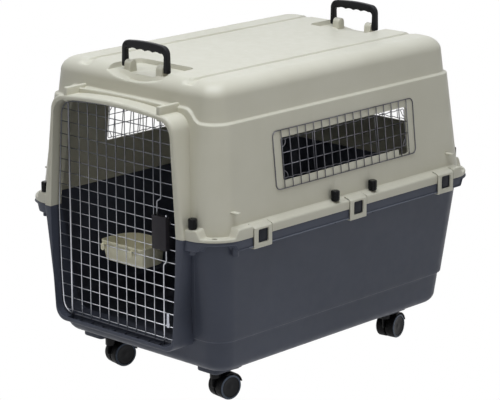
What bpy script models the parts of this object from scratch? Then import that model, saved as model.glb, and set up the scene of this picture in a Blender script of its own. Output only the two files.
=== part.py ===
"""Wheeled pet travel crate, built at its real size in metres.

The front, with the door, faces -Y. +X is the crate's right side seen from the
front, +Z is up, and the origin is on the floor under the middle of the body.
"""

from math import atan2, cos, pi, radians, sin, sqrt, tan

import bmesh
import bpy
from mathutils import Matrix, Vector

# Small gap between pieces that rest on or in one another
GAP = 0.0003
RUNNING_GAP = 0.0006

# Shell walls
WALL = 0.004
WALL_HALF_X = 0.330
WALL_HALF_Y = 0.496
WALL_CORNER = 0.074
CORNER_SHRINK = 0.6
UPPER_DRAFT = 0.110
LOWER_DRAFT = 0.090
LOWER_END_DRAFT = 0.150
CORNER_STEPS = 6

# Heights
FLOOR_TO_BOTTOM = 0.105
LOWER_STEP_Z = 0.1945
SPLIT_Z = 0.468
UPPER_STEP_Z = 0.747
ROOF_EDGE_Z = 0.8065
ROOF_Z = 0.8445

# Steps and roundings of the shells
LOWER_STEP = 0.006
UPPER_STEP = 0.008
STEP_HEIGHT = 0.004
BOTTOM_ROUND = 0.030
ROOF_ROUND = 0.045
BOTTOM_SEGMENTS = 3
ROOF_SEGMENTS = 5
ROOF_GROOVE_X = WALL_HALF_X - 0.144
ROOF_GROOVE_WIDTH = 0.010
ROOF_GROOVE_DEPTH = 0.004
ROOF_GROOVE_HALF_LENGTH = WALL_HALF_Y - 0.056

# Flanges where the two shells meet
FLANGE_OUT = 0.0245
FLANGE_HEIGHT = 0.026
FLANGE_FACE = 0.020
FLANGE_CROWN = 0.0295
FLANGE_CHAMFER = 0.004
LOWER_FLANGE_INSET = 0.0015
FLANGE_PLATE = 0.004

# Thin flange corners with their tie holes
CORNER_PLATE = 0.009
CORNER_START_X = WALL_HALF_X - 0.042
CORNER_START_Y = WALL_HALF_Y - 0.056
TIE_X = WALL_HALF_X - 0.013
TIE_Y = WALL_HALF_Y - 0.013
TIE_HOLE = 0.0055
CORNER_REACH = 0.060

# Raised blocks beside each corner, one with a half-round post
BLOCK_LENGTH = 0.036
POST_RADIUS = 0.0135
POST_HEIGHT = 0.041
POST_Y = WALL_HALF_Y - 0.080

# Part of the front wall beside the surround's top that stays proud
# as places outside the surround's top half width
SHOULDER_CURVE = (
    (0.088, 0.7465), (0.069, 0.7480), (0.050, 0.7485), (0.038, 0.7500), (0.028, 0.7560),
    (0.018, 0.7645), (0.009, 0.7725), (-0.001, 0.7775), (-0.022, 0.7795),
)

# Door surround
PORCH_FRONT_Y = -WALL_HALF_Y - 0.0324
PORCH_BACK_Y = -WALL_HALF_Y + 0.071
PORCH_HALF_SPLIT = WALL_HALF_X - 0.0840
PORCH_HALF_WAIST = WALL_HALF_X - 0.1120
PORCH_WAIST_Z = 0.271
PORCH_HALF_BOTTOM = WALL_HALF_X - 0.1180
PORCH_BOTTOM_Z = 0.168
PORCH_HALF_TOP = WALL_HALF_X - 0.1180
PORCH_SHOULDER_Z = 0.762
PORCH_CROWN_Z = 0.7785
PORCH_CORNER = 0.030
OPENING_HALF_SPLIT = PORCH_HALF_SPLIT - 0.0235
OPENING_HALF_KNEE = PORCH_HALF_WAIST + 0.0010
OPENING_KNEE_Z = 0.310
OPENING_HALF_BOTTOM = PORCH_HALF_BOTTOM - 0.0010
OPENING_SILL_Z = 0.181
OPENING_HALF_TOP = PORCH_HALF_TOP - 0.0075
OPENING_BACK_Y = PORCH_BACK_Y + 0.025
OPENING_SHOULDER_Z = 0.752
OPENING_CROWN_Z = 0.766
OPENING_CORNER = 0.034

# Thin upright bars and the rail between them on top of the door surround
BAR_X = PORCH_HALF_TOP - 0.046
BAR_WIDTH = 0.009
BAR_FRONT_SETBACK = 0.006
BAR_TOP_Z = 0.787
RAIL_THICKNESS = 0.005
RAIL_SETBACK = 0.046
RAIL_TOP_Z = 0.786

# Window openings and their outer wire grilles
WINDOW_HALF_LENGTH = 0.244
WINDOW_HALF_HEIGHT = 0.054
WINDOW_CENTRE_Z = 0.632
WINDOW_SHIFT_Y = 0.004
NOTCH_LENGTH = 0.038
NOTCH_DROP = 0.016
REAR_WINDOW_HALF_LENGTH = 0.1835
GRILLE_WIRE = 0.0024
GRILLE_PITCH = 0.0306
GRILLE_END_LAP = 0.0292
GRILLE_RIM_HALF_HEIGHT = 0.0735
GRILLE_ROW_HALF = 0.0155
RETAINER_INSET = 0.008
RETAINER_TIE_SHARE = 0.5

# Door wirework, whose first wire stands one pitch beside the hinge rod
HINGE_X = 0.0345 - OPENING_HALF_TOP
DOOR_Y = -WALL_HALF_Y - 0.0100
DOOR_CLEAR = 0.004
DOOR_WIRE = 0.0024
DOOR_RIM_WIRE = 0.0034
DOOR_PITCH = 0.0333
DOOR_FIRST_X = HINGE_X + DOOR_PITCH
DOOR_COLUMNS = 9
DOOR_TOP_ROW_Z = 0.7275
DOOR_ROWS = 17
ROD_RADIUS = 0.0020
HINGE_ROD_RADIUS = 0.0024
HINGE_ROD_SEAT = 0.006
ROD_TIP_GAP = 0.0006
ROD_HOLE_DEPTH = 0.009

# Door latch
LATCH_X = OPENING_HALF_TOP - 0.0410
LATCH_WIDTH = 0.049
LATCH_DEPTH = 0.0155
LATCH_BOTTOM_Z = 0.4275
LATCH_HEIGHT = 0.085
LATCH_SHELL = 0.0025
LATCH_BACK = 0.0012
SLIDE_HEIGHT = 0.022
SLIDE_DEPTH = 0.010
SLIDE_END_SETBACK = 0.003
SLIDE_TRAVEL = 0.012
ROD_UPPER_X = LATCH_X - 0.0025
ROD_LOWER_X = LATCH_X + 0.0055
STEM_UPPER_X = LATCH_X - 0.0160
STEM_LOWER_X = LATCH_X + 0.0150
UPPER_JOG_Z = 0.552
LOWER_JOG_Z = 0.392
JOG_RISE = 0.006
STEM_SEAT = 0.008
THUMB_POST_LENGTH = 0.007
SPRING_RADIUS = 0.0045
SPRING_WIRE = 0.0006
SPRING_TURNS = 5
KEEPER_CLIP_X = LATCH_X + 0.0155
KEEPER_CLIP_WIDTH = 0.011
KEEPER_CLIP_THICKNESS = 0.0012

# Feeding bowl hung inside the door
BOWL_LEFT_X = DOOR_FIRST_X + 2 * DOOR_PITCH
BOWL_RIGHT_X = BOWL_LEFT_X + 0.156
BOWL_DEPTH = 0.112
BOWL_HEIGHT = 0.053
BOWL_RIM_Z = 0.4065
BOWL_WALL = 0.0025
BOWL_TAPER = 0.007
BOWL_CORNER = 0.012
BOWL_ROUND = 0.070
BOWL_HOOK_WIDTH = 0.009
BOWL_HOOK_DROP = 0.014
BOWL_HOOK_THICKNESS = 0.0026
BOWL_HOOK_ROW = 10
BOWL_HOOK_COLUMNS = (2.5, 5.5)

# Fold-down carrying handles
HANDLE_Y = WALL_HALF_Y - 0.096
HANDLE_PIVOT_Z = 0.8465
HANDLE_HALF_WIDTH = 0.0805
HANDLE_RISE = 0.067
HANDLE_TOP_Z = HANDLE_PIVOT_Z + HANDLE_RISE
HANDLE_CROWN_DROP = 0.003
HANDLE_THICKNESS = 0.015
HANDLE_LEG_WIDTH = 0.0125
HANDLE_GRIP_HEIGHT = 0.023
HANDLE_CORNER = 0.022
HANDLE_EYE_RADIUS = 0.0080
HANDLE_PIN_RADIUS = 0.0030
BOSS_RADIUS = 0.0115
BOSS_WIDTH = 0.022
POCKET_FLOOR_Z = 0.8325
POCKET_HALF_WIDTH = 0.100
POCKET_BACK_REACH = 0.0765
POCKET_CORNER = 0.022
SCOOP_FLOOR_Z = 0.8165
SCOOP_REACH = 0.016

# Caster pads moulded under the lower shell
CASTER_X = WALL_HALF_X - 0.137
CASTER_FRONT_Y = 0.141 - WALL_HALF_Y
CASTER_REAR_Y = WALL_HALF_Y - 0.176
PAD_HALF_X = 0.048
PAD_HALF_Y = 0.052
PAD_SHIFT_X = 0.004
REAR_PAD_SHIFT_Y = -0.020
PAD_BOTTOM_Z = 0.0885
PAD_CORNER = 0.012

# Twin-wheel casters
WHEEL_RADIUS = 0.0335
WHEEL_WIDTH = 0.0225
WHEEL_OFFSET = 0.0160
WHEEL_RIM_ROUND = 0.003
WHEEL_DISH = 0.0025
CASTER_TRAIL = 0.030
AXLE_RADIUS = 0.0030
WEB_THICKNESS = 0.0070
WEB_RADIUS = 0.0290
HOOD_GAP = 0.0022
HOOD_THICKNESS = 0.0028
HOOD_WIDTH = 0.0540
STEM_RADIUS = 0.0055
STEM_LENGTH = 0.014
NECK_RADIUS = 0.0145
NECK_BOTTOM_Z = 0.0645
BRAKE_WIDTH = 0.036
BRAKE_LENGTH = 0.040
BRAKE_THICKNESS = 0.003
BRAKE_LIFT = 0.0032
BRAKE_FOOT = 0.003
BRAKE_FOOT_GAP = 0.0004
BRAKE_START_Y = 0.024
CASTERS = {
    "front_right": (1, CASTER_FRONT_Y, -8.0, True),
    "front_left": (-1, CASTER_FRONT_Y, -12.0, True),
    "rear_right": (1, CASTER_REAR_Y, 10.0, False),
    "rear_left": (-1, CASTER_REAR_Y, -4.0, False),
}

# Clips that hold the two flanges together
CLIP_CENTRE_Y = 0.006
CLIP_PITCH = 0.360
CLIP_LENGTH = 0.0635
CLIP_THICKNESS = 0.0038
CLIP_TOP_REACH = 0.019
CLIP_FOOT_REACH = 0.014
CLIP_WINDOW_LENGTH = 0.037
CLIP_WINDOW_HEIGHT = 0.0345
CLIP_WINDOW_SHIFT = 0.0005
CATCH_THICKNESS = 0.0022
CATCH_MARGIN = 0.0012
CLIP_NAMES = ("front", "middle", "rear")

# Clamp knobs on studs through both flanges
KNOB_RADIUS = 0.0117
KNOB_HEIGHT = 0.027
KNOB_RIBS = 7
KNOB_RIB_DEPTH = 0.0008
KNOB_PITCH = 0.147
KNOB_END_X = WALL_HALF_X - 0.064
STUD_RADIUS = 0.0030
STUD_BOSS_RADIUS = 0.0075
STUD_BOSS_DROP = 0.010

CORNERS = ((1, -1), (1, 1), (-1, 1), (-1, -1))

BEIGE = (0.66, 0.65, 0.55)
GREY = (0.055, 0.060, 0.072)
BLACK = (0.012, 0.012, 0.013)
STEEL = (0.55, 0.56, 0.60)
BOWL_TAN = (0.55, 0.52, 0.38)
FINISHES = {
    "beige_plastic": (BEIGE, 0.45, 0.0),
    "grey_plastic": (GREY, 0.50, 0.0),
    "black_plastic": (BLACK, 0.40, 0.0),
    "wire_steel": (STEEL, 0.30, 1.0),
    "bowl_plastic": (BOWL_TAN, 0.45, 0.0),
    "wheel_rubber": (BLACK, 0.70, 0.0),
}
MERGE = 0.00001


# Collections, materials and small builders
def clear_scene():
    """Remove every object that the file holds."""
    for old in list(bpy.data.objects):
        bpy.data.objects.remove(old)


def new_collection(name):
    """Make a collection under the scene's own."""
    collection = bpy.data.collections.new(name)
    bpy.context.scene.collection.children.link(collection)
    return collection


clear_scene()
PARTS = new_collection("wheeled_pet_travel_crate")
CUTTERS = new_collection("cutters")


def give_material(obj, finish):
    """Give a piece a Principled material of its own."""
    colour, roughness, metallic = FINISHES[finish]
    material = bpy.data.materials.new(obj.name + "_" + finish)
    material.use_nodes = True
    shader = material.node_tree.nodes["Principled BSDF"]
    shader.inputs["Base Color"].default_value = (*colour, 1.0)
    shader.inputs["Roughness"].default_value = roughness
    shader.inputs["Metallic"].default_value = metallic
    obj.data.materials.append(material)


def keep(obj, finish):
    """Put a finished piece in the crate's collection."""
    for collection in list(obj.users_collection):
        collection.objects.unlink(obj)
    PARTS.objects.link(obj)
    give_material(obj, finish)
    if obj.type == "MESH":
        obj.data.shade_smooth()
        obj.data.set_sharp_from_angle(angle=radians(35))
    return obj


def tool(obj):
    """Put a cutter or a joined form in the hidden collection."""
    for collection in list(obj.users_collection):
        collection.objects.unlink(obj)
    CUTTERS.objects.link(obj)
    obj.hide_render = True
    obj.display_type = "WIRE"
    return obj


def object_from(bm, name):
    """Turn a bmesh into an object with outward faces."""
    bmesh.ops.recalc_face_normals(bm, faces=bm.faces)
    mesh = bpy.data.meshes.new(name)
    bm.to_mesh(mesh)
    bm.free()
    obj = bpy.data.objects.new(name, mesh)
    bpy.context.scene.collection.objects.link(obj)
    return obj


def boolean(obj, other, operation):
    """Cut, join or intersect a piece with a hidden form."""
    modifier = obj.modifiers.new(operation.lower(), "BOOLEAN")
    modifier.operation = operation
    modifier.solver = "EXACT"
    modifier.object = other


def box(name, low, high, bevel=0.0):
    """A box between two corners, with rounded edges where asked."""
    size = Vector(high) - Vector(low)
    centre = (Vector(high) + Vector(low)) / 2
    bm = bmesh.new()
    bmesh.ops.create_cube(bm, size=1.0)
    bmesh.ops.scale(bm, vec=size, verts=bm.verts)
    bmesh.ops.translate(bm, vec=centre, verts=bm.verts)
    if bevel:
        bmesh.ops.bevel(bm, geom=bm.edges[:], offset=bevel, segments=2, profile=0.5, affect="EDGES")
    return object_from(bm, name)


def cylinder(name, radius, start, end, segments=12):
    """A round bar between two points."""
    start, end = Vector(start), Vector(end)
    direction = end - start
    bm = bmesh.new()
    bmesh.ops.create_cone(
        bm, cap_ends=True, segments=segments, radius1=radius, radius2=radius, depth=direction.length
    )
    turn = direction.to_track_quat("Z", "Y").to_matrix().to_4x4()
    bmesh.ops.transform(bm, matrix=Matrix.Translation((start + end) / 2) @ turn, verts=bm.verts)
    return object_from(bm, name)


def ring(half_x, half_y, corner, z):
    """Points round a rounded rectangle at one height."""
    points = []
    for quarter in range(4):
        side_x = 1 if quarter in (0, 3) else -1
        side_y = 1 if quarter in (0, 1) else -1
        centre_x = side_x * (half_x - corner)
        centre_y = side_y * (half_y - corner)
        for step in range(CORNER_STEPS + 1):
            angle = (quarter + step / CORNER_STEPS) * pi / 2
            points.append((centre_x + corner * cos(angle), centre_y + corner * sin(angle), z))
    return points


def bridge(bm, lower, upper):
    """Quads between two rings of the same length."""
    count = len(lower)
    for i in range(count):
        j = (i + 1) % count
        bm.faces.new((lower[i], lower[j], upper[j], upper[i]))


def loft(name, rings):
    """A closed solid through a stack of rings, flat at both ends."""
    bm = bmesh.new()
    rows = [[bm.verts.new(point) for point in points] for points in rings]
    for lower, upper in zip(rows, rows[1:]):
        bridge(bm, lower, upper)
    bm.faces.new(rows[0])
    bm.faces.new(rows[-1])
    return object_from(bm, name)


def loop_loft(name, rings):
    """A closed ring-shaped solid whose rings follow round its section."""
    bm = bmesh.new()
    rows = [[bm.verts.new(point) for point in points] for points in rings]
    for lower, upper in zip(rows, rows[1:] + rows[:1]):
        bridge(bm, lower, upper)
    return object_from(bm, name)


def fillet(corners, segments=5):
    """Round each corner (a, b, radius) of a closed outline with an arc."""
    points = []
    count = len(corners)
    for i, (a, b, radius) in enumerate(corners):
        here = Vector((a, b))
        back = (Vector(corners[i - 1][:2]) - here)
        ahead = (Vector(corners[(i + 1) % count][:2]) - here)
        if radius == 0:
            points.append((a, b))
            continue
        back_unit, ahead_unit = back.normalized(), ahead.normalized()
        half_angle = back_unit.angle(ahead_unit) / 2
        reach = radius / tan(half_angle)
        limit = 0.48 * min(back.length, ahead.length)
        if reach > limit:
            reach = limit
            radius = reach * tan(half_angle)
        middle = here + (back_unit + ahead_unit).normalized() * (radius / sin(half_angle))
        first = here + back_unit * reach - middle
        last = here + ahead_unit * reach - middle
        start = atan2(first.y, first.x)
        sweep = atan2(last.y, last.x) - start
        sweep = (sweep + pi) % (2 * pi) - pi
        for step in range(segments + 1):
            angle = start + sweep * step / segments
            points.append((middle.x + radius * cos(angle), middle.y + radius * sin(angle)))
    return points


def plate(name, outline, low, high, plane="XZ"):
    """A flat outline with thickness between two depths along its normal."""
    curve = bpy.data.curves.new(name, "CURVE")
    curve.dimensions = "2D"
    curve.fill_mode = "BOTH"
    curve.extrude = (high - low) / 2
    spline = curve.splines.new("POLY")
    spline.points.add(len(outline) - 1)
    for point, (a, b) in zip(spline.points, outline):
        point.co = (a, b, 0, 1)
    spline.use_cyclic_u = True
    flat = bpy.data.objects.new(name + "_curve", curve)
    bpy.context.scene.collection.objects.link(flat)
    middle = (low + high) / 2
    frames = {
        "XY": Matrix.Translation((0, 0, middle)),
        "XZ": Matrix.Translation((0, middle, 0)) @ Matrix.Rotation(pi / 2, 4, "X"),
        "YZ": Matrix.Translation((middle, 0, 0))
        @ Matrix(((0, 0, 1, 0), (1, 0, 0, 0), (0, 1, 0, 0), (0, 0, 0, 1))),
    }
    return meshed(flat, name, frames[plane])


def meshed(curve_object, name, matrix):
    """Change a curve object into a welded mesh object at a place."""
    graph = bpy.context.evaluated_depsgraph_get()
    mesh = bpy.data.meshes.new_from_object(curve_object.evaluated_get(graph))
    bm = bmesh.new()
    bm.from_mesh(mesh)
    bpy.data.meshes.remove(mesh)
    bmesh.ops.remove_doubles(bm, verts=bm.verts, dist=MERGE)
    bmesh.ops.transform(bm, matrix=matrix, verts=bm.verts)
    bpy.data.objects.remove(curve_object)
    return object_from(bm, name)


def wire(name, points, radius):
    """A round wire along a line of points, with closed ends."""
    curve = bpy.data.curves.new(name, "CURVE")
    curve.dimensions = "3D"
    curve.bevel_depth = radius
    curve.bevel_resolution = 2
    curve.use_fill_caps = True
    spline = curve.splines.new("POLY")
    spline.points.add(len(points) - 1)
    for point, place in zip(spline.points, points):
        point.co = (*place, 1)
    obj = bpy.data.objects.new(name, curve)
    bpy.context.scene.collection.objects.link(obj)
    return obj


def joint_empty(name, place):
    """An empty on a joint's axis, which carries the moving pieces."""
    empty = bpy.data.objects.new(name, None)
    empty.location = place
    empty.empty_display_size = 0.02
    PARTS.objects.link(empty)
    return empty


def carry(parent, *children):
    """Parent finished pieces to a joint's empty where they stand."""
    bpy.context.view_layer.update()
    for child in children:
        child.parent = parent
        child.matrix_parent_inverse = parent.matrix_world.inverted()


# Sizes that several pieces share
def upper_half(z):
    """How far the upper wall has drawn in at a height."""
    return UPPER_DRAFT * (z - (SPLIT_Z + FLANGE_CROWN))


def lower_half(z):
    """How far the lower wall has drawn in at a height."""
    return LOWER_DRAFT * (SPLIT_Z - z)


def wall_ring(drawn_in, z):
    """The wall's ring where it has drawn in by a length."""
    corner = WALL_CORNER - drawn_in * (CORNER_SHRINK if drawn_in > 0 else 1)
    return ring(WALL_HALF_X - drawn_in, WALL_HALF_Y - drawn_in, corner, z)


def lower_ring(drawn_in, z):
    """The lower wall's ring, whose ends draw in more than its sides."""
    end_extra = (LOWER_END_DRAFT - LOWER_DRAFT) * max(0.0, SPLIT_Z - FLANGE_HEIGHT - z)
    corner = WALL_CORNER - drawn_in * (CORNER_SHRINK if drawn_in > 0 else 1)
    return ring(WALL_HALF_X - drawn_in, WALL_HALF_Y - drawn_in - end_extra, corner, z)


def knob_seat():
    """Height of a clamp knob's underside."""
    return flange_top_z(FLANGE_OUT / 2 - KNOB_RADIUS) + GAP


def arch_height(x, half, shoulder, crown):
    """Height of a shallow arch at a distance from its middle."""
    return crown - (crown - shoulder) * (x / half) ** 2


def lintel_z(x):
    """Height of the underside of the door surround's arch."""
    return arch_height(x, OPENING_HALF_TOP, OPENING_SHOULDER_Z, OPENING_CROWN_Z)


def flange_top_z(out):
    """Height of the upper flange's top face at a distance out from the wall."""
    share = out / (FLANGE_OUT - FLANGE_CHAMFER)
    return SPLIT_Z + FLANGE_CROWN - share * (FLANGE_CROWN - FLANGE_FACE - FLANGE_CHAMFER)


# Shells
def upper_outer():
    """Outer form of the upper shell, from the split to the roof."""
    flange = -FLANGE_OUT
    crown_z = SPLIT_Z + FLANGE_CROWN
    rings = [wall_ring(flange, SPLIT_Z + GAP), wall_ring(flange, SPLIT_Z + FLANGE_FACE)]
    rings.append(wall_ring(flange + FLANGE_CHAMFER, flange_top_z(FLANGE_OUT - FLANGE_CHAMFER)))
    rings.append(wall_ring(0, crown_z))
    rings.append(wall_ring(upper_half(UPPER_STEP_Z), UPPER_STEP_Z))
    above = UPPER_STEP_Z + STEP_HEIGHT
    rings.append(wall_ring(upper_half(above) + UPPER_STEP, above))
    drawn_in = upper_half(ROOF_EDGE_Z) + UPPER_STEP
    rise = ROOF_Z - ROOF_EDGE_Z
    for step in range(ROOF_SEGMENTS + 1):
        angle = step / ROOF_SEGMENTS * pi / 2
        inward = drawn_in + ROOF_ROUND * (1 - cos(angle))
        rings.append(wall_ring(inward, ROOF_EDGE_Z + rise * sin(angle)))
    return loft("upper_shell", rings)


def upper_inner():
    """Space inside the upper shell, one wall in from its outer form."""
    below = SPLIT_Z - FLANGE_HEIGHT
    rings = [wall_ring(WALL + upper_half(below), below)]
    rings.append(wall_ring(WALL + upper_half(UPPER_STEP_Z), UPPER_STEP_Z))
    above = UPPER_STEP_Z + STEP_HEIGHT
    rings.append(wall_ring(WALL + upper_half(above) + UPPER_STEP, above))
    drawn_in = WALL + upper_half(ROOF_EDGE_Z) + UPPER_STEP
    rise = ROOF_Z - WALL - ROOF_EDGE_Z
    for step in range(ROOF_SEGMENTS + 1):
        angle = step / ROOF_SEGMENTS * pi / 2
        inward = drawn_in + (ROOF_ROUND - WALL) * (1 - cos(angle))
        rings.append(wall_ring(inward, ROOF_EDGE_Z + rise * sin(angle)))
    return tool(loft("upper_inner", rings))


def lower_outer():
    """Outer form of the lower shell, from its bottom to the split."""
    foot = FLOOR_TO_BOTTOM + BOTTOM_ROUND
    rings = []
    for step in range(BOTTOM_SEGMENTS + 1):
        angle = step / BOTTOM_SEGMENTS * pi / 2
        inward = lower_half(foot) + LOWER_STEP + BOTTOM_ROUND * (1 - sin(angle))
        rings.append(lower_ring(inward, foot - BOTTOM_ROUND * cos(angle)))
    below = LOWER_STEP_Z - STEP_HEIGHT
    rings.append(lower_ring(lower_half(below) + LOWER_STEP, below))
    rings.append(lower_ring(lower_half(LOWER_STEP_Z), LOWER_STEP_Z))
    flange_z = SPLIT_Z - FLANGE_HEIGHT
    out = LOWER_FLANGE_INSET - FLANGE_OUT
    rings.append(lower_ring(lower_half(flange_z), flange_z))
    rings.append(lower_ring(out, flange_z))
    rings.append(lower_ring(out, SPLIT_Z))
    return loft("lower_shell", rings)


def lower_inner():
    """Space inside the lower shell, one wall in from its outer form."""
    foot = FLOOR_TO_BOTTOM + BOTTOM_ROUND
    round_in = BOTTOM_ROUND - WALL
    rings = []
    for step in range(BOTTOM_SEGMENTS + 1):
        angle = step / BOTTOM_SEGMENTS * pi / 2
        inward = WALL + lower_half(foot) + LOWER_STEP + round_in * (1 - sin(angle))
        rings.append(lower_ring(inward, foot - round_in * cos(angle)))
    below = LOWER_STEP_Z - STEP_HEIGHT
    rings.append(lower_ring(WALL + lower_half(below) + LOWER_STEP, below))
    rings.append(lower_ring(WALL + lower_half(LOWER_STEP_Z), LOWER_STEP_Z))
    above = SPLIT_Z + FLANGE_HEIGHT
    rings.append(lower_ring(WALL + lower_half(above), above))
    return tool(loft("lower_inner", rings))


def flange_channel(name, near_z, far_z, upper):
    """Hollow inside a flange, between the wall and the flange's outer lip."""
    out = WALL - FLANGE_OUT + LOWER_FLANGE_INSET
    inner = -WALL
    rings = [wall_ring(out, near_z), wall_ring(out, far_z), wall_ring(inner, far_z), wall_ring(inner, near_z)]
    channel = loop_loft(name, rings)
    for sign_x, sign_y in CORNERS:
        boolean(channel, corner_box(f"{name}_{sign_x}_{sign_y}", sign_x, sign_y, upper, WALL), "DIFFERENCE")
    return tool(channel)


def corner_box(name, sign_x, sign_y, upper, grow):
    """Space over or under one thin flange corner, out from the wall's corner."""
    low_x, high_x = sorted((sign_x * (CORNER_START_X - grow), sign_x * (WALL_HALF_X + CORNER_REACH)))
    low_y, high_y = sorted((sign_y * (CORNER_START_Y - grow), sign_y * (WALL_HALF_Y + CORNER_REACH)))
    way = 1 if upper else -1
    low_z, high_z = sorted((SPLIT_Z + way * (CORNER_PLATE - grow), SPLIT_Z + way * CORNER_REACH))
    return tool(box(name, (low_x, low_y, low_z), (high_x, high_y, high_z)))


def corner_reliefs(shell, upper):
    """Thin the flange at its four corners, outside the wall."""
    if upper:
        near, far = SPLIT_Z - WALL, SPLIT_Z + 2 * CORNER_REACH
        rings = [wall_ring(upper_half(near) - GAP, near), wall_ring(upper_half(far) - GAP, far)]
    else:
        near, far = SPLIT_Z - 2 * CORNER_REACH, SPLIT_Z + WALL
        bend = SPLIT_Z - FLANGE_HEIGHT
        rings = [lower_ring(lower_half(z) - GAP, z) for z in (near, bend, far)]
    wall_form = tool(loft(shell.name + "_wall_form", rings))
    for sign_x, sign_y in CORNERS:
        relief = corner_box(f"{shell.name}_relief_{sign_x}_{sign_y}", sign_x, sign_y, upper, 0.0)
        boolean(relief, wall_form, "DIFFERENCE")
        boolean(shell, relief, "DIFFERENCE")


def corner_blocks(shell):
    """Raised flat blocks beside each flange corner, and the posts on them."""
    top = knob_seat() - GAP
    bottom = SPLIT_Z + FLANGE_FACE - 2 * WALL
    face = FLANGE_OUT - GAP
    for sign_x, sign_y in CORNERS:
        tag = f"{sign_x}_{sign_y}"
        low_x, high_x = sorted((sign_x * (CORNER_START_X - BLOCK_LENGTH), sign_x * CORNER_START_X))
        low_y, high_y = sorted((sign_y * (WALL_HALF_Y - WALL / 2), sign_y * (WALL_HALF_Y + face)))
        block = box("end_block_" + tag, (low_x, low_y, bottom), (high_x, high_y, top))
        boolean(shell, tool(block), "UNION")
        low_x, high_x = sorted((sign_x * (WALL_HALF_X - WALL / 2), sign_x * (WALL_HALF_X + face)))
        low_y, high_y = sorted((sign_y * (CORNER_START_Y - BLOCK_LENGTH), sign_y * CORNER_START_Y))
        block = box("side_block_" + tag, (low_x, low_y, bottom), (high_x, high_y, top))
        x, y = sign_x * (WALL_HALF_X + WALL / 4), sign_y * POST_Y
        post = cylinder("post_" + tag, POST_RADIUS, (x, y, top - WALL), (x, y, top + POST_HEIGHT), 16)
        boolean(block, tool(post), "UNION")
        boolean(shell, tool(block), "UNION")


def shoulder():
    """Wall beside the surround's top that carries on up, inside an S-shaped edge."""
    low, high = UPPER_STEP_Z - 3 * WALL, ROOF_EDGE_Z
    form = loft("porch_shoulder", [wall_ring(upper_half(z) + GAP, z) for z in (low, high)])
    curve = [(PORCH_HALF_TOP + out, z) for out, z in SHOULDER_CURVE]
    outline = [(WALL_HALF_X, low)] + [(WALL_HALF_X, curve[0][1])] + curve
    outline += [(-x, z) for x, z in reversed(curve)] + [(-WALL_HALF_X, curve[0][1]), (-WALL_HALF_X, low)]
    prism = plate("shoulder_outline", outline, -WALL_HALF_Y - WALL, -WALL_HALF_Y + WALL_CORNER * 1.6)
    boolean(form, tool(prism), "INTERSECT")
    return tool(form)


def mirrored(right_side):
    """Complete a symmetric outline from its right side, bottom to top."""
    return right_side + [(-a, b, radius) for a, b, radius in reversed(right_side)]


def arch_corners(half, shoulder, crown, corner):
    """Right side of an arch, from its shoulder to near its middle."""
    shares = (0.66, 0.22)
    side = [(half, shoulder, corner)]
    side += [(half * share, arch_height(half * share, half, shoulder, crown), 0) for share in shares]
    return side


def upper_porch_outline():
    """Outer outline of the door surround above the split."""
    side = [(PORCH_HALF_SPLIT, SPLIT_Z + GAP, 0)]
    side += arch_corners(PORCH_HALF_TOP, PORCH_SHOULDER_Z, PORCH_CROWN_Z, PORCH_CORNER)
    return fillet(mirrored(side))


def lower_porch_outline():
    """Outer outline of the door surround below the split."""
    side = [(PORCH_HALF_BOTTOM, PORCH_BOTTOM_Z, PORCH_CORNER)]
    side += [(PORCH_HALF_WAIST, PORCH_WAIST_Z, PORCH_CORNER), (PORCH_HALF_SPLIT, SPLIT_Z, 0)]
    return fillet(mirrored(side))


def opening_outline(inset=0.0):
    """Outline of the door opening, or of the door that fits inside it."""
    side = [
        (OPENING_HALF_BOTTOM - inset, OPENING_SILL_Z + inset, OPENING_CORNER),
        (OPENING_HALF_KNEE - inset, OPENING_KNEE_Z, OPENING_CORNER),
        (OPENING_HALF_SPLIT - inset, SPLIT_Z, OPENING_CORNER),
    ]
    side += arch_corners(
        OPENING_HALF_TOP - inset, OPENING_SHOULDER_Z - inset, OPENING_CROWN_Z - inset, OPENING_CORNER
    )
    return fillet(mirrored(side))


def opening_cutter():
    """The door opening, cut through surround and wall."""
    return tool(plate("door_opening", opening_outline(), PORCH_FRONT_Y - WALL, OPENING_BACK_Y))


def window_frame(side):
    """Centre, level axis and slope axis of a window on one wall."""
    drawn_in = upper_half(WINDOW_CENTRE_Z)
    if side == "rear":
        place = Vector((0, WALL_HALF_Y - drawn_in, WINDOW_CENTRE_Z))
        outward = Vector((0, 1, 0))
    else:
        sign = 1 if side == "right" else -1
        place = Vector((sign * (WALL_HALF_X - drawn_in), WINDOW_SHIFT_Y, WINDOW_CENTRE_Z))
        outward = Vector((sign, 0, 0))
    slope = (Vector((0, 0, 1)) - outward * UPPER_DRAFT).normalized()
    level = slope.cross(outward).normalized()
    normal = level.cross(slope).normalized()
    axes = Matrix((level, slope, normal)).transposed().to_4x4()
    return Matrix.Translation(place) @ axes


def window_cutter(side, half_length):
    """The opening of one window, square to its wall."""
    reach = 4 * WALL
    low = (-half_length, -WINDOW_HALF_HEIGHT, -reach)
    high = (half_length, WINDOW_HALF_HEIGHT, reach)
    cutter = box("window_" + side, low, high)
    cutter.data.transform(window_frame(side))
    way = -1 if side == "left" else 1
    low_x, high_x = sorted((way * (half_length - NOTCH_LENGTH), way * half_length))
    low = (low_x, -WINDOW_HALF_HEIGHT - NOTCH_DROP, -reach)
    notch = box("notch_" + side, low, (high_x, 0, reach))
    notch.data.transform(window_frame(side))
    boolean(cutter, tool(notch), "UNION")
    return tool(cutter)


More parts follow.
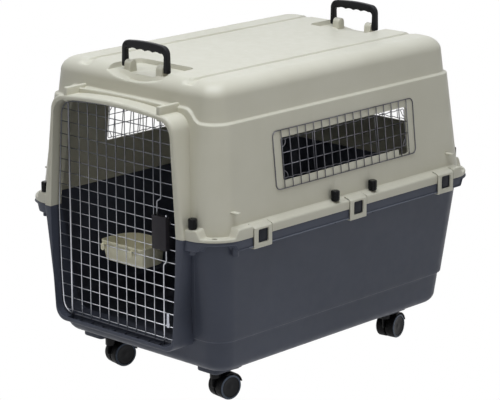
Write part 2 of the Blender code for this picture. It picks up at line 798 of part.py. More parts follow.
def pocket(name, end, grow):
    """Recess for a folded handle: a flat floor, and a scoop open to the end."""
    half = POCKET_HALF_WIDTH + grow
    inner_y = HANDLE_Y - POCKET_BACK_REACH - grow
    outer_y = WALL_HALF_Y
    outline = fillet([
        (half, end * outer_y, 0), (half, end * inner_y, POCKET_CORNER),
        (-half, end * inner_y, POCKET_CORNER), (-half, end * outer_y, 0),
    ])
    top = ROOF_Z + 4 * WALL
    floor = plate(name, outline, POCKET_FLOOR_Z - grow, top, "XY")
    dip = POCKET_FLOOR_Z - SCOOP_FLOOR_Z
    steps = 10
    scoop = [(half, top), (-half, top)]
    for step in range(steps + 1):
        share = 2 * step / steps - 1
        scoop.append((share * half, POCKET_FLOOR_Z - grow - dip * (1 - share * share)))
    near, far = HANDLE_Y + SCOOP_REACH - grow, outer_y
    low, high = sorted((end * near, end * far))
    boolean(floor, tool(plate(name + "_scoop", scoop, low, high)), "UNION")
    return tool(floor)


def roof_groove(name, side, grow):
    """Long shallow groove in the roof beside its middle panel."""
    half = ROOF_GROOVE_WIDTH / 2 + grow
    reach = ROOF_GROOVE_HALF_LENGTH + grow
    x = side * ROOF_GROOVE_X
    low = (x - half, -reach, ROOF_Z - ROOF_GROOVE_DEPTH - grow)
    high = (x + half, reach, ROOF_Z + WALL)
    return tool(box(name, low, high))


def handle_boss(name, end, side):
    """Half-round lug that carries one end of a handle."""
    inner = HANDLE_HALF_WIDTH - HANDLE_LEG_WIDTH - RUNNING_GAP
    low, high = sorted((side * inner, side * (inner - BOSS_WIDTH)))
    y = end * HANDLE_Y
    outline = [(y + BOSS_RADIUS, POCKET_FLOOR_Z - WALL / 2), (y + BOSS_RADIUS, HANDLE_PIVOT_Z)]
    steps = 8
    for step in range(1, steps):
        angle = step / steps * pi
        outline.append((y + BOSS_RADIUS * cos(angle), HANDLE_PIVOT_Z + BOSS_RADIUS * sin(angle)))
    outline += [(y - BOSS_RADIUS, HANDLE_PIVOT_Z), (y - BOSS_RADIUS, POCKET_FLOOR_Z - WALL / 2)]
    return tool(plate(name, outline, low, high, "YZ"))


def pin_hole(name, end, side):
    """Blind hole in a lug for the handle's pin."""
    inner = HANDLE_HALF_WIDTH - HANDLE_LEG_WIDTH
    y = end * HANDLE_Y
    start = (side * (inner + WALL), y, HANDLE_PIVOT_Z)
    finish = (side * (inner - BOSS_WIDTH * 0.6), y, HANDLE_PIVOT_Z)
    return tool(cylinder(name, HANDLE_PIN_RADIUS + RUNNING_GAP, start, finish, 12))


def knob_places():
    """Centre of each clamp knob on the flange, by name."""
    middle = FLANGE_OUT / 2
    side_x = WALL_HALF_X + middle
    end_y = WALL_HALF_Y + middle
    places = {}
    for side, sign in (("right", 1), ("left", -1)):
        for end, way in (("front", -1), ("rear", 1)):
            places[f"{end}_{side}"] = (sign * KNOB_END_X, way * end_y)
            places[f"{side}_{end}"] = (sign * side_x, CLIP_CENTRE_Y + way * KNOB_PITCH / 2)
    return places


def add_flange_fittings(shell, upper):
    """Tie holes, stud bosses and stud holes that both shells share."""
    name = shell.name
    reach = FLANGE_CROWN + FLANGE_HEIGHT
    for sign_x, sign_y in CORNERS:
        x, y = sign_x * TIE_X, sign_y * TIE_Y
        hole = cylinder(f"tie_hole_{name}_{sign_x}_{sign_y}", TIE_HOLE, (x, y, SPLIT_Z - reach), (x, y, SPLIT_Z + reach))
        boolean(shell, tool(hole), "DIFFERENCE")
    for key, (x, y) in knob_places().items():
        if not upper:
            low = SPLIT_Z - FLANGE_HEIGHT - STUD_BOSS_DROP
            boss = cylinder(f"boss_{name}_{key}", STUD_BOSS_RADIUS, (x, y, low), (x, y, low + STUD_BOSS_DROP + WALL / 2))
            boolean(shell, tool(boss), "UNION")
        bottom = SPLIT_Z - FLANGE_HEIGHT - STUD_BOSS_DROP / 2
        hole = cylinder(
            f"stud_hole_{name}_{key}", STUD_RADIUS + RUNNING_GAP, (x, y, bottom), (x, y, SPLIT_Z + reach), 8
        )
        boolean(shell, tool(hole), "DIFFERENCE")


def add_porch_top(shell):
    """Upright bars and the rail between them, on top of the door surround."""
    front = PORCH_FRONT_Y + BAR_FRONT_SETBACK
    for side, sign in (("right", 1), ("left", -1)):
        low_x, high_x = sorted((sign * (BAR_X - BAR_WIDTH / 2), sign * (BAR_X + BAR_WIDTH / 2)))
        low, high = (low_x, front, PORCH_SHOULDER_Z - WALL), (high_x, PORCH_BACK_Y, BAR_TOP_Z)
        boolean(shell, tool(box("porch_bar_" + side, low, high)), "UNION")
    rail_y = PORCH_FRONT_Y + RAIL_SETBACK
    low = (-BAR_X, rail_y, PORCH_SHOULDER_Z)
    high = (BAR_X, rail_y + RAIL_THICKNESS, RAIL_TOP_Z)
    boolean(shell, tool(box("porch_rail", low, high)), "UNION")


def rod_hole(name, place, radius, low, high):
    """Hole for a door rod in the sill or the lintel."""
    x, y = place
    return tool(cylinder(name, radius + RUNNING_GAP, (x, y, low), (x, y, high), 12))


def rod_y(radius):
    """Depth of a rod that runs just in front of the door's wires."""
    return DOOR_Y - DOOR_RIM_WIRE / 2 - GAP - radius


def rod_places(latch_x):
    """Name, place and radius of the two rods that enter the surround."""
    yield "hinge", (HINGE_X, rod_y(HINGE_ROD_RADIUS)), HINGE_ROD_RADIUS
    yield "latch", (latch_x, latch_rod_y()), ROD_RADIUS


def build_upper_shell():
    """Beige upper shell with roof, windows, handle pockets and surround."""
    shell = upper_outer()
    channel = flange_channel("upper_channel", SPLIT_Z - WALL, SPLIT_Z + FLANGE_FACE - WALL, True)
    boolean(shell, channel, "DIFFERENCE")
    corner_reliefs(shell, True)
    corner_blocks(shell)
    boolean(shell, shoulder(), "UNION")
    porch = plate("upper_porch", upper_porch_outline(), PORCH_FRONT_Y, PORCH_BACK_Y)
    boolean(shell, tool(porch), "UNION")
    add_porch_top(shell)
    inner = upper_inner()
    for end, way in (("front", -1), ("rear", 1)):
        boolean(shell, pocket("pocket_" + end, way, 0.0), "DIFFERENCE")
        boolean(inner, pocket("pocket_wall_" + end, way, WALL), "DIFFERENCE")
    for side, way in (("right", 1), ("left", -1)):
        boolean(shell, roof_groove("groove_" + side, way, 0.0), "DIFFERENCE")
        boolean(inner, roof_groove("groove_wall_" + side, way, WALL), "DIFFERENCE")
    boolean(shell, inner, "DIFFERENCE")
    boolean(shell, opening_cutter(), "DIFFERENCE")
    for side, half_length in WINDOWS.items():
        boolean(shell, window_cutter(side, half_length), "DIFFERENCE")
    for end, way in (("front", -1), ("rear", 1)):
        for side in (1, -1):
            boolean(shell, handle_boss(f"boss_{end}_{side}", way, side), "UNION")
            boolean(shell, pin_hole(f"pin_hole_{end}_{side}", way, side), "DIFFERENCE")
    add_flange_fittings(shell, True)
    for key, place, radius in rod_places(ROD_UPPER_X):
        low = lintel_z(place[0]) - WALL
        high = lintel_z(place[0]) + ROD_HOLE_DEPTH
        boolean(shell, rod_hole("lintel_hole_" + key, place, radius, low, high), "DIFFERENCE")
    return keep(shell, "beige_plastic")


def add_caster_pads(shell):
    """Square pads under the corners, each with a socket for a stem."""
    for key, (side, y, _, _) in CASTERS.items():
        x = side * CASTER_X
        top = FLOOR_TO_BOTTOM + WALL / 2
        middle_x = side * (CASTER_X + PAD_SHIFT_X)
        middle_y = y + (REAR_PAD_SHIFT_Y if key.startswith("rear") else 0.0)
        outline = fillet([
            (middle_x + way_x * PAD_HALF_X, middle_y + way_y * PAD_HALF_Y, PAD_CORNER)
            for way_x, way_y in ((1, -1), (1, 1), (-1, 1), (-1, -1))
        ])
        boolean(shell, tool(plate("pad_" + key, outline, PAD_BOTTOM_Z, top, "XY")), "UNION")
        hole_top = PAD_BOTTOM_Z + STEM_LENGTH + 2 * GAP
        hole = cylinder("socket_" + key, STEM_RADIUS + RUNNING_GAP, (x, y, PAD_BOTTOM_Z - WALL), (x, y, hole_top))
        boolean(shell, tool(hole), "DIFFERENCE")


def add_clip_catches(shell):
    """Tabs that stand up in front of the upper flange inside each clip's window."""
    face = WALL_HALF_X + FLANGE_OUT
    for side, sign in (("right", 1), ("left", -1)):
        for index, end in enumerate(CLIP_NAMES):
            y = clip_y(index) + CLIP_WINDOW_SHIFT
            half_y = CLIP_WINDOW_LENGTH / 2 - CATCH_MARGIN
            half_z = CLIP_WINDOW_HEIGHT / 2 - CATCH_MARGIN
            inner, outer = face + GAP, face + GAP + CATCH_THICKNESS
            root = face - LOWER_FLANGE_INSET - WALL / 2
            low_x, high_x = sorted((sign * inner, sign * outer))
            tab = box(f"catch_{side}_{end}", (low_x, y - half_y, SPLIT_Z - half_z), (high_x, y + half_y, SPLIT_Z + half_z))
            low_x, high_x = sorted((sign * root, sign * outer))
            neck = box(f"neck_{side}_{end}", (low_x, y - half_y, SPLIT_Z - half_z), (high_x, y + half_y, SPLIT_Z - GAP))
            boolean(tab, tool(neck), "UNION")
            boolean(shell, tool(tab), "UNION")


def build_lower_shell():
    """Dark grey lower shell with floor, sill and caster pads."""
    shell = lower_outer()
    near, far = SPLIT_Z + WALL, SPLIT_Z - FLANGE_HEIGHT + FLANGE_PLATE
    boolean(shell, flange_channel("lower_channel", near, far, False), "DIFFERENCE")
    corner_reliefs(shell, False)
    porch = plate("lower_porch", lower_porch_outline(), PORCH_FRONT_Y, PORCH_BACK_Y)
    boolean(shell, tool(porch), "UNION")
    add_caster_pads(shell)
    boolean(shell, lower_inner(), "DIFFERENCE")
    boolean(shell, opening_cutter(), "DIFFERENCE")
    add_flange_fittings(shell, False)
    add_clip_catches(shell)
    for key, place, radius in rod_places(ROD_LOWER_X):
        low, high = OPENING_SILL_Z - ROD_HOLE_DEPTH, OPENING_SILL_Z + WALL
        boolean(shell, rod_hole("sill_hole_" + key, place, radius, low, high), "DIFFERENCE")
    return keep(shell, "grey_plastic")


# Wire grilles
def lattice(name, columns, rows, thickness):
    """Crossed wires on given columns and rows, as one flat lattice."""
    bm = bmesh.new()
    bmesh.ops.create_grid(bm, x_segments=len(columns) - 1, y_segments=len(rows) - 1, size=1.0)
    across = sorted({round(v.co.x, 5) for v in bm.verts})
    along = sorted({round(v.co.y, 5) for v in bm.verts})
    for vert in bm.verts:
        column = across.index(round(vert.co.x, 5))
        row = along.index(round(vert.co.y, 5))
        vert.co = (columns[column], rows[row], 0)
    obj = object_from(bm, name)
    frame = obj.modifiers.new("wires", "WIREFRAME")
    frame.thickness = thickness
    frame.use_even_offset = True
    frame.use_boundary = True
    frame.use_replace = True
    frame.offset = 0.0
    return obj


def spread(half, pitch):
    """Evenly pitched places that fill a half-length both ways."""
    count = round(2 * half / pitch)
    return [-half + 2 * half * i / count for i in range(count + 1)]


def build_grille(side, half_length):
    """Outer wire grille that laps over one window's edges."""
    end = half_length + GRILLE_END_LAP
    columns = [-end] + spread(half_length, GRILLE_PITCH) + [end]
    rim = GRILLE_RIM_HALF_HEIGHT
    rows = [-rim, -GRILLE_ROW_HALF, GRILLE_ROW_HALF, rim]
    grille = lattice("window_grille_" + side, columns, rows, GRILLE_WIRE)
    lift = Matrix.Translation((0, 0, GRILLE_WIRE / 2 + GAP))
    grille.data.transform(window_frame(side) @ lift)
    return keep(grille, "wire_steel")


def build_retainer(side, half_length):
    """Inner wire frame that grips the wall behind one window."""
    half = half_length + RETAINER_INSET
    tie = half_length * RETAINER_TIE_SHARE
    high = WINDOW_HALF_HEIGHT + RETAINER_INSET
    retainer = lattice("window_retainer_" + side, [-half, -tie, tie, half], [-high, high], GRILLE_WIRE)
    sink = Matrix.Translation((0, 0, -WALL - GRILLE_WIRE / 2 - GAP))
    retainer.data.transform(window_frame(side) @ sink)
    return keep(retainer, "wire_steel")


WINDOWS = {"right": WINDOW_HALF_LENGTH, "left": WINDOW_HALF_LENGTH, "rear": REAR_WINDOW_HALF_LENGTH}


# Door
def build_door_grid():
    """Wire mesh of the door with its rim wire, as one welded piece."""
    outside = 0.02
    columns = [DOOR_FIRST_X + DOOR_PITCH * i for i in range(DOOR_COLUMNS)]
    columns = [-OPENING_HALF_SPLIT - outside] + columns + [OPENING_HALF_SPLIT + outside]
    rows = [DOOR_TOP_ROW_Z - DOOR_PITCH * i for i in range(DOOR_ROWS)]
    rows = [OPENING_CROWN_Z + outside] + rows + [OPENING_SILL_Z - outside]
    mesh_wires = lattice("door_grid", columns, rows[::-1], DOOR_WIRE)
    mesh_wires.data.transform(Matrix.Translation((0, DOOR_Y, 0)) @ Matrix.Rotation(pi / 2, 4, "X"))
    half = DOOR_RIM_WIRE / 2
    middle = DOOR_CLEAR + half
    inside = plate("door_trim", opening_outline(middle), DOOR_Y - WALL, DOOR_Y + WALL)
    boolean(mesh_wires, tool(inside), "INTERSECT")
    rim = plate("door_rim", opening_outline(DOOR_CLEAR), DOOR_Y - half, DOOR_Y + half)
    hollow = plate("door_rim_hollow", opening_outline(DOOR_CLEAR + DOOR_RIM_WIRE), DOOR_Y - WALL, DOOR_Y + WALL)
    boolean(rim, tool(hollow), "DIFFERENCE")
    boolean(mesh_wires, tool(rim), "UNION")
    return keep(mesh_wires, "wire_steel")


def build_hinge_rod():
    """Rod that the door turns on, with its ends in sill and lintel."""
    y = rod_y(HINGE_ROD_RADIUS)
    low = (HINGE_X, y, OPENING_SILL_Z - HINGE_ROD_SEAT)
    high = (HINGE_X, y, lintel_z(HINGE_X) + HINGE_ROD_SEAT)
    return keep(cylinder("hinge_rod", HINGE_ROD_RADIUS, low, high, 12), "wire_steel")


def latch_box():
    """Corners of the latch housing in front of the door's wires."""
    back = DOOR_Y - DOOR_RIM_WIRE / 2 - GAP
    low = Vector((LATCH_X - LATCH_WIDTH / 2, back - LATCH_DEPTH, LATCH_BOTTOM_Z))
    high = Vector((LATCH_X + LATCH_WIDTH / 2, back, LATCH_BOTTOM_Z + LATCH_HEIGHT))
    return low, high


def latch_rod_y():
    """Depth of the latch rods, inside the housing's back wall."""
    return latch_box()[1].y - LATCH_BACK - RUNNING_GAP - ROD_RADIUS


def build_latch_housing():
    """Blank housing of the door latch, open at its top and bottom."""
    low, high = latch_box()
    housing = box("latch_housing", low, high)
    near = low + Vector((LATCH_SHELL, LATCH_SHELL, -WALL))
    far = high - Vector((LATCH_SHELL, LATCH_BACK, -WALL))
    boolean(housing, tool(box("latch_hollow", near, far)), "DIFFERENCE")
    return keep(housing, "black_plastic")


def build_slide(name, upward):
    """Latch slide with a hole for its rod's stem and a thumb post."""
    low, high = latch_box()
    side_gap = LATCH_SHELL + RUNNING_GAP
    stem_x, post_x = (STEM_UPPER_X, STEM_LOWER_X) if upward else (STEM_LOWER_X, STEM_UPPER_X)
    if upward:
        top = high.z - SLIDE_END_SETBACK
        bottom = top - SLIDE_HEIGHT
        outer, way = top, 1
    else:
        bottom = low.z + SLIDE_END_SETBACK
        top = bottom + SLIDE_HEIGHT
        outer, way = bottom, -1
    y = latch_rod_y()
    front, back = slide_depth()
    slide = box(name, (low.x + side_gap, front, bottom), (high.x - side_gap, back, top))
    hole = cylinder(
        name + "_hole", ROD_RADIUS + GAP, (stem_x, y, outer + way * WALL), (stem_x, y, outer - way * STEM_SEAT), 12
    )
    boolean(slide, tool(hole), "DIFFERENCE")
    post = cylinder(
        name + "_post", ROD_RADIUS, (post_x, y, outer - way * WALL), (post_x, y, outer + way * THUMB_POST_LENGTH), 12
    )
    boolean(slide, tool(post), "UNION")
    return keep(slide, "black_plastic")


def slide_depth():
    """Front and back of a latch slide inside the housing."""
    low, high = latch_box()
    back = high.y - LATCH_BACK - RUNNING_GAP
    return max(low.y + LATCH_SHELL + RUNNING_GAP, back - SLIDE_DEPTH), back


def build_latch_rod(name, upward):
    """Rod from a latch slide to the sill or the lintel, with its jog."""
    low, high = latch_box()
    y = latch_rod_y()
    if upward:
        start = high.z - SLIDE_END_SETBACK - STEM_SEAT + GAP
        tip = lintel_z(ROD_UPPER_X) - ROD_TIP_GAP
        places = [(STEM_UPPER_X, start), (STEM_UPPER_X, UPPER_JOG_Z - JOG_RISE)]
        places += [(ROD_UPPER_X, UPPER_JOG_Z + JOG_RISE), (ROD_UPPER_X, tip)]
    else:
        start = low.z + SLIDE_END_SETBACK + STEM_SEAT - GAP
        tip = OPENING_SILL_Z + ROD_TIP_GAP
        places = [(STEM_LOWER_X, start), (STEM_LOWER_X, LOWER_JOG_Z + JOG_RISE)]
        places += [(ROD_LOWER_X, LOWER_JOG_Z - JOG_RISE), (ROD_LOWER_X, tip)]
    return keep(wire(name, [(x, y, z) for x, z in places], ROD_RADIUS), "wire_steel")


def build_spring():
    """Coil spring between the two latch slides."""
    low, high = latch_box()
    bottom = low.z + SLIDE_END_SETBACK + SLIDE_HEIGHT + SPRING_WIRE + GAP
    top = high.z - SLIDE_END_SETBACK - SLIDE_HEIGHT - SPRING_WIRE - GAP
    front, back = slide_depth()
    y = (front + back) / 2
    per_turn = 6
    count = SPRING_TURNS * per_turn
    points = []
    for i in range(count + 1):
        angle = 2 * pi * i / per_turn
        z = bottom + (top - bottom) * i / count
        points.append((LATCH_X + SPRING_RADIUS * cos(angle), y + SPRING_RADIUS * sin(angle), z))
    return keep(wire("latch_spring", points, SPRING_WIRE), "wire_steel")


def build_keeper_clip():
    """Small sheet clip on the wires beside the lower rod."""
    front = DOOR_Y - DOOR_RIM_WIRE / 2 - GAP
    rows = [DOOR_TOP_ROW_Z - DOOR_PITCH * i for i in (14, 15)]
    half = KEEPER_CLIP_WIDTH / 2
    lap = DOOR_WIRE
    low = (KEEPER_CLIP_X - half, front - KEEPER_CLIP_THICKNESS, rows[1] - lap)
    high = (KEEPER_CLIP_X + half, front, rows[0] + lap)
    return keep(box("door_keeper_clip", low, high), "wire_steel")


def bowl_ring(inset, z):
    """Round-backed outline of the bowl at one height."""
    low, high = BOWL_LEFT_X + inset, BOWL_RIGHT_X - inset
    front = bowl_front_y() + inset
    back = bowl_front_y() + BOWL_DEPTH - inset
    outline = fillet([
        (low, front, BOWL_CORNER), (high, front, BOWL_CORNER),
        (high, back, BOWL_ROUND), (low, back, BOWL_ROUND),
    ])
    return [(x, y, z) for x, y in outline]


def bowl_front_y():
    """Front face of the bowl, just behind the door's wires."""
    return DOOR_Y + DOOR_RIM_WIRE / 2 + GAP


def build_bowl():
    """Feeding bowl with two hooks over one of the door's wires."""
    bottom = BOWL_RIM_Z - BOWL_HEIGHT
    outer = [bowl_ring(BOWL_TAPER, bottom), bowl_ring(0, BOWL_RIM_Z)]
    bowl = loft("feeding_bowl", outer)
    above = BOWL_RIM_Z + WALL
    inner = [bowl_ring(BOWL_TAPER + BOWL_WALL, bottom + BOWL_WALL), bowl_ring(BOWL_WALL, above)]
    boolean(bowl, tool(loft("bowl_hollow", inner)), "DIFFERENCE")
    row = DOOR_TOP_ROW_Z - DOOR_PITCH * BOWL_HOOK_ROW
    thick = BOWL_HOOK_THICKNESS
    over = row + DOOR_WIRE / 2 + RUNNING_GAP
    front = DOOR_Y - DOOR_WIRE / 2 - RUNNING_GAP
    for index, column in enumerate(BOWL_HOOK_COLUMNS):
        x = DOOR_FIRST_X + DOOR_PITCH * column
        half = BOWL_HOOK_WIDTH / 2
        bar = box(f"hook_bar_{index}", (x - half, front - thick, over), (x + half, bowl_front_y() + thick, over + thick))
        lip = box(f"hook_lip_{index}", (x - half, front - thick, over + thick - BOWL_HOOK_DROP), (x + half, front, over + thick))
        boolean(bar, tool(lip), "UNION")
        boolean(bowl, tool(bar), "UNION")
    return keep(bowl, "bowl_plastic")


def build_door():
    """The door and everything that it carries."""
    hinge = joint_empty("door_hinge_axis", (HINGE_X, rod_y(HINGE_ROD_RADIUS), OPENING_SILL_Z))
    pieces = [build_door_grid(), build_hinge_rod(), build_latch_housing()]
    pieces += [build_slide("latch_slide_upper", True), build_slide("latch_slide_lower", False)]
    pieces += [build_latch_rod("latch_rod_upper", True), build_latch_rod("latch_rod_lower", False)]
    pieces += [build_spring(), build_keeper_clip(), build_bowl()]
    carry(hinge, *pieces)


# Carrying handles
def handle_outline():
    """Front view of a handle: grip, legs and pivot eyes."""
    half, leg = HANDLE_HALF_WIDTH, HANDLE_LEG_WIDTH
    foot = HANDLE_PIVOT_Z - HANDLE_EYE_RADIUS
    under = HANDLE_TOP_Z - HANDLE_GRIP_HEIGHT
    inner = half - leg
    return fillet([
        (half, foot, 0), (half, HANDLE_TOP_Z - HANDLE_CROWN_DROP, HANDLE_CORNER),
        (-half, HANDLE_TOP_Z - HANDLE_CROWN_DROP, HANDLE_CORNER), (-half, foot, 0),
        (-inner, foot, 0), (-inner, under, HANDLE_CORNER / 3),
        (inner, under, HANDLE_CORNER / 3), (inner, foot, 0),
    ])


def build_handle(end, way):
    """One carrying handle, standing up, with its two pivot pins."""
    y = way * HANDLE_Y
    half = HANDLE_THICKNESS / 2
    handle = plate(end + "_handle", handle_outline(), y - half, y + half)
    pieces = []
    for side, sign in (("right", 1), ("left", -1)):
        outer = HANDLE_HALF_WIDTH - HANDLE_LEG_WIDTH / 3
        inner = HANDLE_HALF_WIDTH - HANDLE_LEG_WIDTH - BOSS_WIDTH * 0.6 + GAP
        start = (sign * inner, y, HANDLE_PIVOT_Z)
        finish = (sign * outer, y, HANDLE_PIVOT_Z)
        hole = cylinder(
            f"{end}_eye_{side}", HANDLE_PIN_RADIUS + GAP, (sign * (inner - WALL), y, HANDLE_PIVOT_Z),
            (sign * (outer + GAP), y, HANDLE_PIVOT_Z), 12,
        )
        boolean(handle, tool(hole), "DIFFERENCE")
        pin = cylinder(f"{end}_handle_pin_{side}", HANDLE_PIN_RADIUS, start, finish, 12)
        pieces.append(keep(pin, "wire_steel"))
    pieces.append(keep(handle, "black_plastic"))
    carry(joint_empty(end + "_handle_axis", (0, y, HANDLE_PIVOT_Z)), *pieces)


# Casters
def wheel(name, place, outward):
    """One wheel of a twin caster, turned about its axle."""
    half = WHEEL_WIDTH / 2
    rim = WHEEL_RADIUS - WHEEL_RIM_ROUND
    bore = AXLE_RADIUS + GAP
    dish = WHEEL_DISH
    profile = [
        (bore, half - dish), (rim * 0.75, half - dish), (rim * 0.84, half), (rim, half),
        (WHEEL_RADIUS, half - WHEEL_RIM_ROUND), (WHEEL_RADIUS, -half), (bore, -half),
    ]
    segments = 24
    bm = bmesh.new()
    rows = []
    for radius, across in profile:
        circle = []
        for step in range(segments):
            angle = 2 * pi * step / segments
            circle.append(bm.verts.new((outward * across, radius * cos(angle), radius * sin(angle))))
        rows.append(circle)
    for first, second in zip(rows, rows[1:] + rows[:1]):
        bridge(bm, first, second)
    obj = object_from(bm, name)
    obj.location = place
    return keep(obj, "wheel_rubber")


def hood(name):
    """Swivel body of a caster: web, hood over the wheels, neck and stem."""
    axle_y, axle_z = CASTER_TRAIL, WHEEL_RADIUS
    half = WEB_THICKNESS / 2
    web = cylinder(name, WEB_RADIUS, (-half, axle_y, axle_z), (half, axle_y, axle_z), 16)
    inner = WHEEL_RADIUS + HOOD_GAP
    outer = inner + HOOD_THICKNESS
    low, high = radians(20), radians(160)
    steps = 8
    arc = []
    for step in range(steps + 1):
        angle = low + (high - low) * step / steps
        arc.append((axle_y + outer * cos(angle), axle_z + outer * sin(angle)))
    for step in range(steps + 1):
        angle = high + (low - high) * step / steps
        arc.append((axle_y + inner * cos(angle), axle_z + inner * sin(angle)))
    cover = plate(name + "_cover", arc, -HOOD_WIDTH / 2, HOOD_WIDTH / 2, "YZ")
    boolean(web, tool(cover), "UNION")
    spine = box(name + "_spine", (-half, -NECK_RADIUS * 0.9, axle_z), (half, axle_y, axle_z + inner + GAP))
    boolean(web, tool(spine), "UNION")
    top = PAD_BOTTOM_Z - GAP
    neck = cylinder(name + "_neck", NECK_RADIUS, (0, 0, NECK_BOTTOM_Z), (0, 0, top), 12)
    boolean(web, tool(neck), "UNION")
    stem = cylinder(name + "_stem", STEM_RADIUS, (0, 0, top - WALL), (0, 0, PAD_BOTTOM_Z + STEM_LENGTH))
    boolean(web, tool(stem), "UNION")
    reach = HOOD_WIDTH
    bore = cylinder(name + "_bore", AXLE_RADIUS + GAP, (-reach, axle_y, axle_z), (reach, axle_y, axle_z), 12)
    boolean(web, tool(bore), "DIFFERENCE")
    return web


def build_caster(key, side, y, yaw, braked):
    """One twin-wheel swivel caster at its pad, turned to its rest angle."""
    place = Vector((side * CASTER_X, y, 0))
    swivel = joint_empty(f"caster_{key}_swivel_axis", place)
    axle_place = (0, CASTER_TRAIL, WHEEL_RADIUS)
    reach = WHEEL_OFFSET + WHEEL_WIDTH / 2 - WHEEL_DISH - GAP
    pieces = [
        keep(hood(f"caster_{key}_hood"), "black_plastic"),
        keep(
            cylinder(f"caster_{key}_axle", AXLE_RADIUS, (-reach, *axle_place[1:]), (reach, *axle_place[1:]), 12),
            "wire_steel",
        ),
    ]
    for name, way in (("right", 1), ("left", -1)):
        pieces.append(wheel(f"caster_{key}_wheel_{name}", (way * WHEEL_OFFSET, *axle_place[1:]), way))
    if braked:
        pieces.append(build_brake(f"caster_{key}_brake"))
    for piece in pieces:
        piece.parent = swivel
        for modifier in piece.modifiers:
            modifier.object.parent = swivel
    swivel.rotation_euler = (0, 0, radians(yaw))


def build_brake(name):
    """Brake pedal on a narrow foot over the hood."""
    base = 2 * WHEEL_RADIUS + HOOD_GAP + HOOD_THICKNESS
    start = BRAKE_START_Y
    bottom = base + BRAKE_LIFT
    low = (-BRAKE_WIDTH / 2, start, bottom)
    high = (BRAKE_WIDTH / 2, start + BRAKE_LENGTH, bottom + BRAKE_THICKNESS)
    pedal = box(name, low, high)
    low = (-BRAKE_WIDTH / 4, start, base + BRAKE_FOOT_GAP)
    high = (BRAKE_WIDTH / 4, start + BRAKE_FOOT, bottom + BRAKE_THICKNESS / 2)
    boolean(pedal, tool(box(name + "_foot", low, high)), "UNION")
    return keep(pedal, "black_plastic")


# Clips and knobs
def clip_y(index):
    """Middle of a clip along the crate's side."""
    return CLIP_CENTRE_Y + CLIP_PITCH * (index - 1)


def clip_profile(sign):
    """Section of a clip: cap over the upper flange, face, and foot below."""
    face = WALL_HALF_X + FLANGE_OUT + GAP
    thick = CLIP_THICKNESS
    chamfer = FLANGE_CHAMFER
    top_in = WALL_HALF_X + FLANGE_OUT - CLIP_TOP_REACH
    rise = flange_top_z(FLANGE_OUT - CLIP_TOP_REACH) + GAP
    shoulder = flange_top_z(FLANGE_OUT - chamfer) + GAP
    edge = SPLIT_Z + FLANGE_FACE + GAP
    foot = SPLIT_Z - FLANGE_HEIGHT - GAP
    foot_in = face - CLIP_FOOT_REACH
    points = [
        (foot_in, foot), (face, foot), (face, edge), (face - chamfer, shoulder), (top_in, rise),
        (top_in, rise + thick * 0.7), (face - chamfer, shoulder + thick * 0.8),
        (face + thick, edge + thick * 0.4), (face + thick, foot - thick * 0.7),
        (face + thick * 0.6, foot - thick), (foot_in, foot - thick),
    ]
    return [(sign * x, z) for x, z in points]


def build_clip(side, sign, index):
    """Clip that snaps over both flanges, with a window for the catch."""
    y = clip_y(index)
    half = CLIP_LENGTH / 2
    name = f"side_clip_{side}_{CLIP_NAMES[index]}"
    clip = plate(name, clip_profile(sign), y - half, y + half)
    face = WALL_HALF_X + FLANGE_OUT
    low_x, high_x = sorted((sign * (face - WALL / 4), sign * (face + 4 * CLIP_THICKNESS)))
    middle = y + CLIP_WINDOW_SHIFT
    half_y, half_z = CLIP_WINDOW_LENGTH / 2, CLIP_WINDOW_HEIGHT / 2
    low = (low_x, middle - half_y, SPLIT_Z - half_z)
    high = (high_x, middle + half_y, SPLIT_Z + half_z)
    boolean(clip, tool(box(name + "_window", low, high)), "DIFFERENCE")
    return keep(clip, "beige_plastic")


def build_knob(key, x, y):
    """Ribbed clamp knob with its moulded-in stud."""
    seat = knob_seat()
    count = KNOB_RIBS * 2
    bm = bmesh.new()
    rows = []
    for z, shrink in ((seat, 0), (seat + KNOB_HEIGHT - 0.002, 0), (seat + KNOB_HEIGHT, 0.002)):
        row = []
        for step in range(count):
            radius = KNOB_RADIUS - shrink - (step % 2) * KNOB_RIB_DEPTH
            angle = 2 * pi * step / count
            row.append(bm.verts.new((radius * cos(angle), radius * sin(angle), z)))
        rows.append(row)
    for lower, upper in zip(rows, rows[1:]):
        bridge(bm, lower, upper)
    bm.faces.new(rows[0])
    bm.faces.new(rows[-1])
    knob = object_from(bm, "clamp_knob_" + key)
    bottom = SPLIT_Z - FLANGE_HEIGHT - STUD_BOSS_DROP / 2 + GAP
    stud = cylinder("stud_" + key, STUD_RADIUS, (0, 0, bottom), (0, 0, seat + WALL), 8)
    boolean(knob, tool(stud), "UNION")
    knob.location = (x, y, 0)
    stud.location = (x, y, 0)
    return keep(knob, "black_plastic")


def centre_on_origin():
    """Move the whole crate so that its overall box stands centred on the origin."""
    rear = WALL_HALF_Y + FLANGE_OUT
    shift = -(PORCH_FRONT_Y + rear) / 2
    for obj in list(PARTS.objects) + list(CUTTERS.objects):
        if obj.parent is None:
            obj.location.y += shift


def main():
    """Build every piece of the crate."""
    build_upper_shell()
    build_lower_shell()
    for side, half_length in WINDOWS.items():
        build_grille(side, half_length)
        build_retainer(side, half_length)
    build_door()
    for end, way in (("front", -1), ("rear", 1)):
        build_handle(end, way)
    for key, (side, y, yaw, braked) in CASTERS.items():
        build_caster(key, side, y, yaw, braked)
    for side, sign in (("right", 1), ("left", -1)):
        for index in range(len(CLIP_NAMES)):
            build_clip(side, sign, index)
    for key, (x, y) in knob_places().items():
        build_knob(key, x, y)
    centre_on_origin()


main()
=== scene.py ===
"""Looks of a wheeled pet travel crate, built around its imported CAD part.

Every length is in metres, in the part's own frame: the door faces -Y, +X is the
crate's right side seen from the front, and +Z is up from the floor.
"""

from __future__ import annotations

import logging
import math
from dataclasses import dataclass, field
from enum import Enum
from itertools import product
from typing import Iterable, Sequence

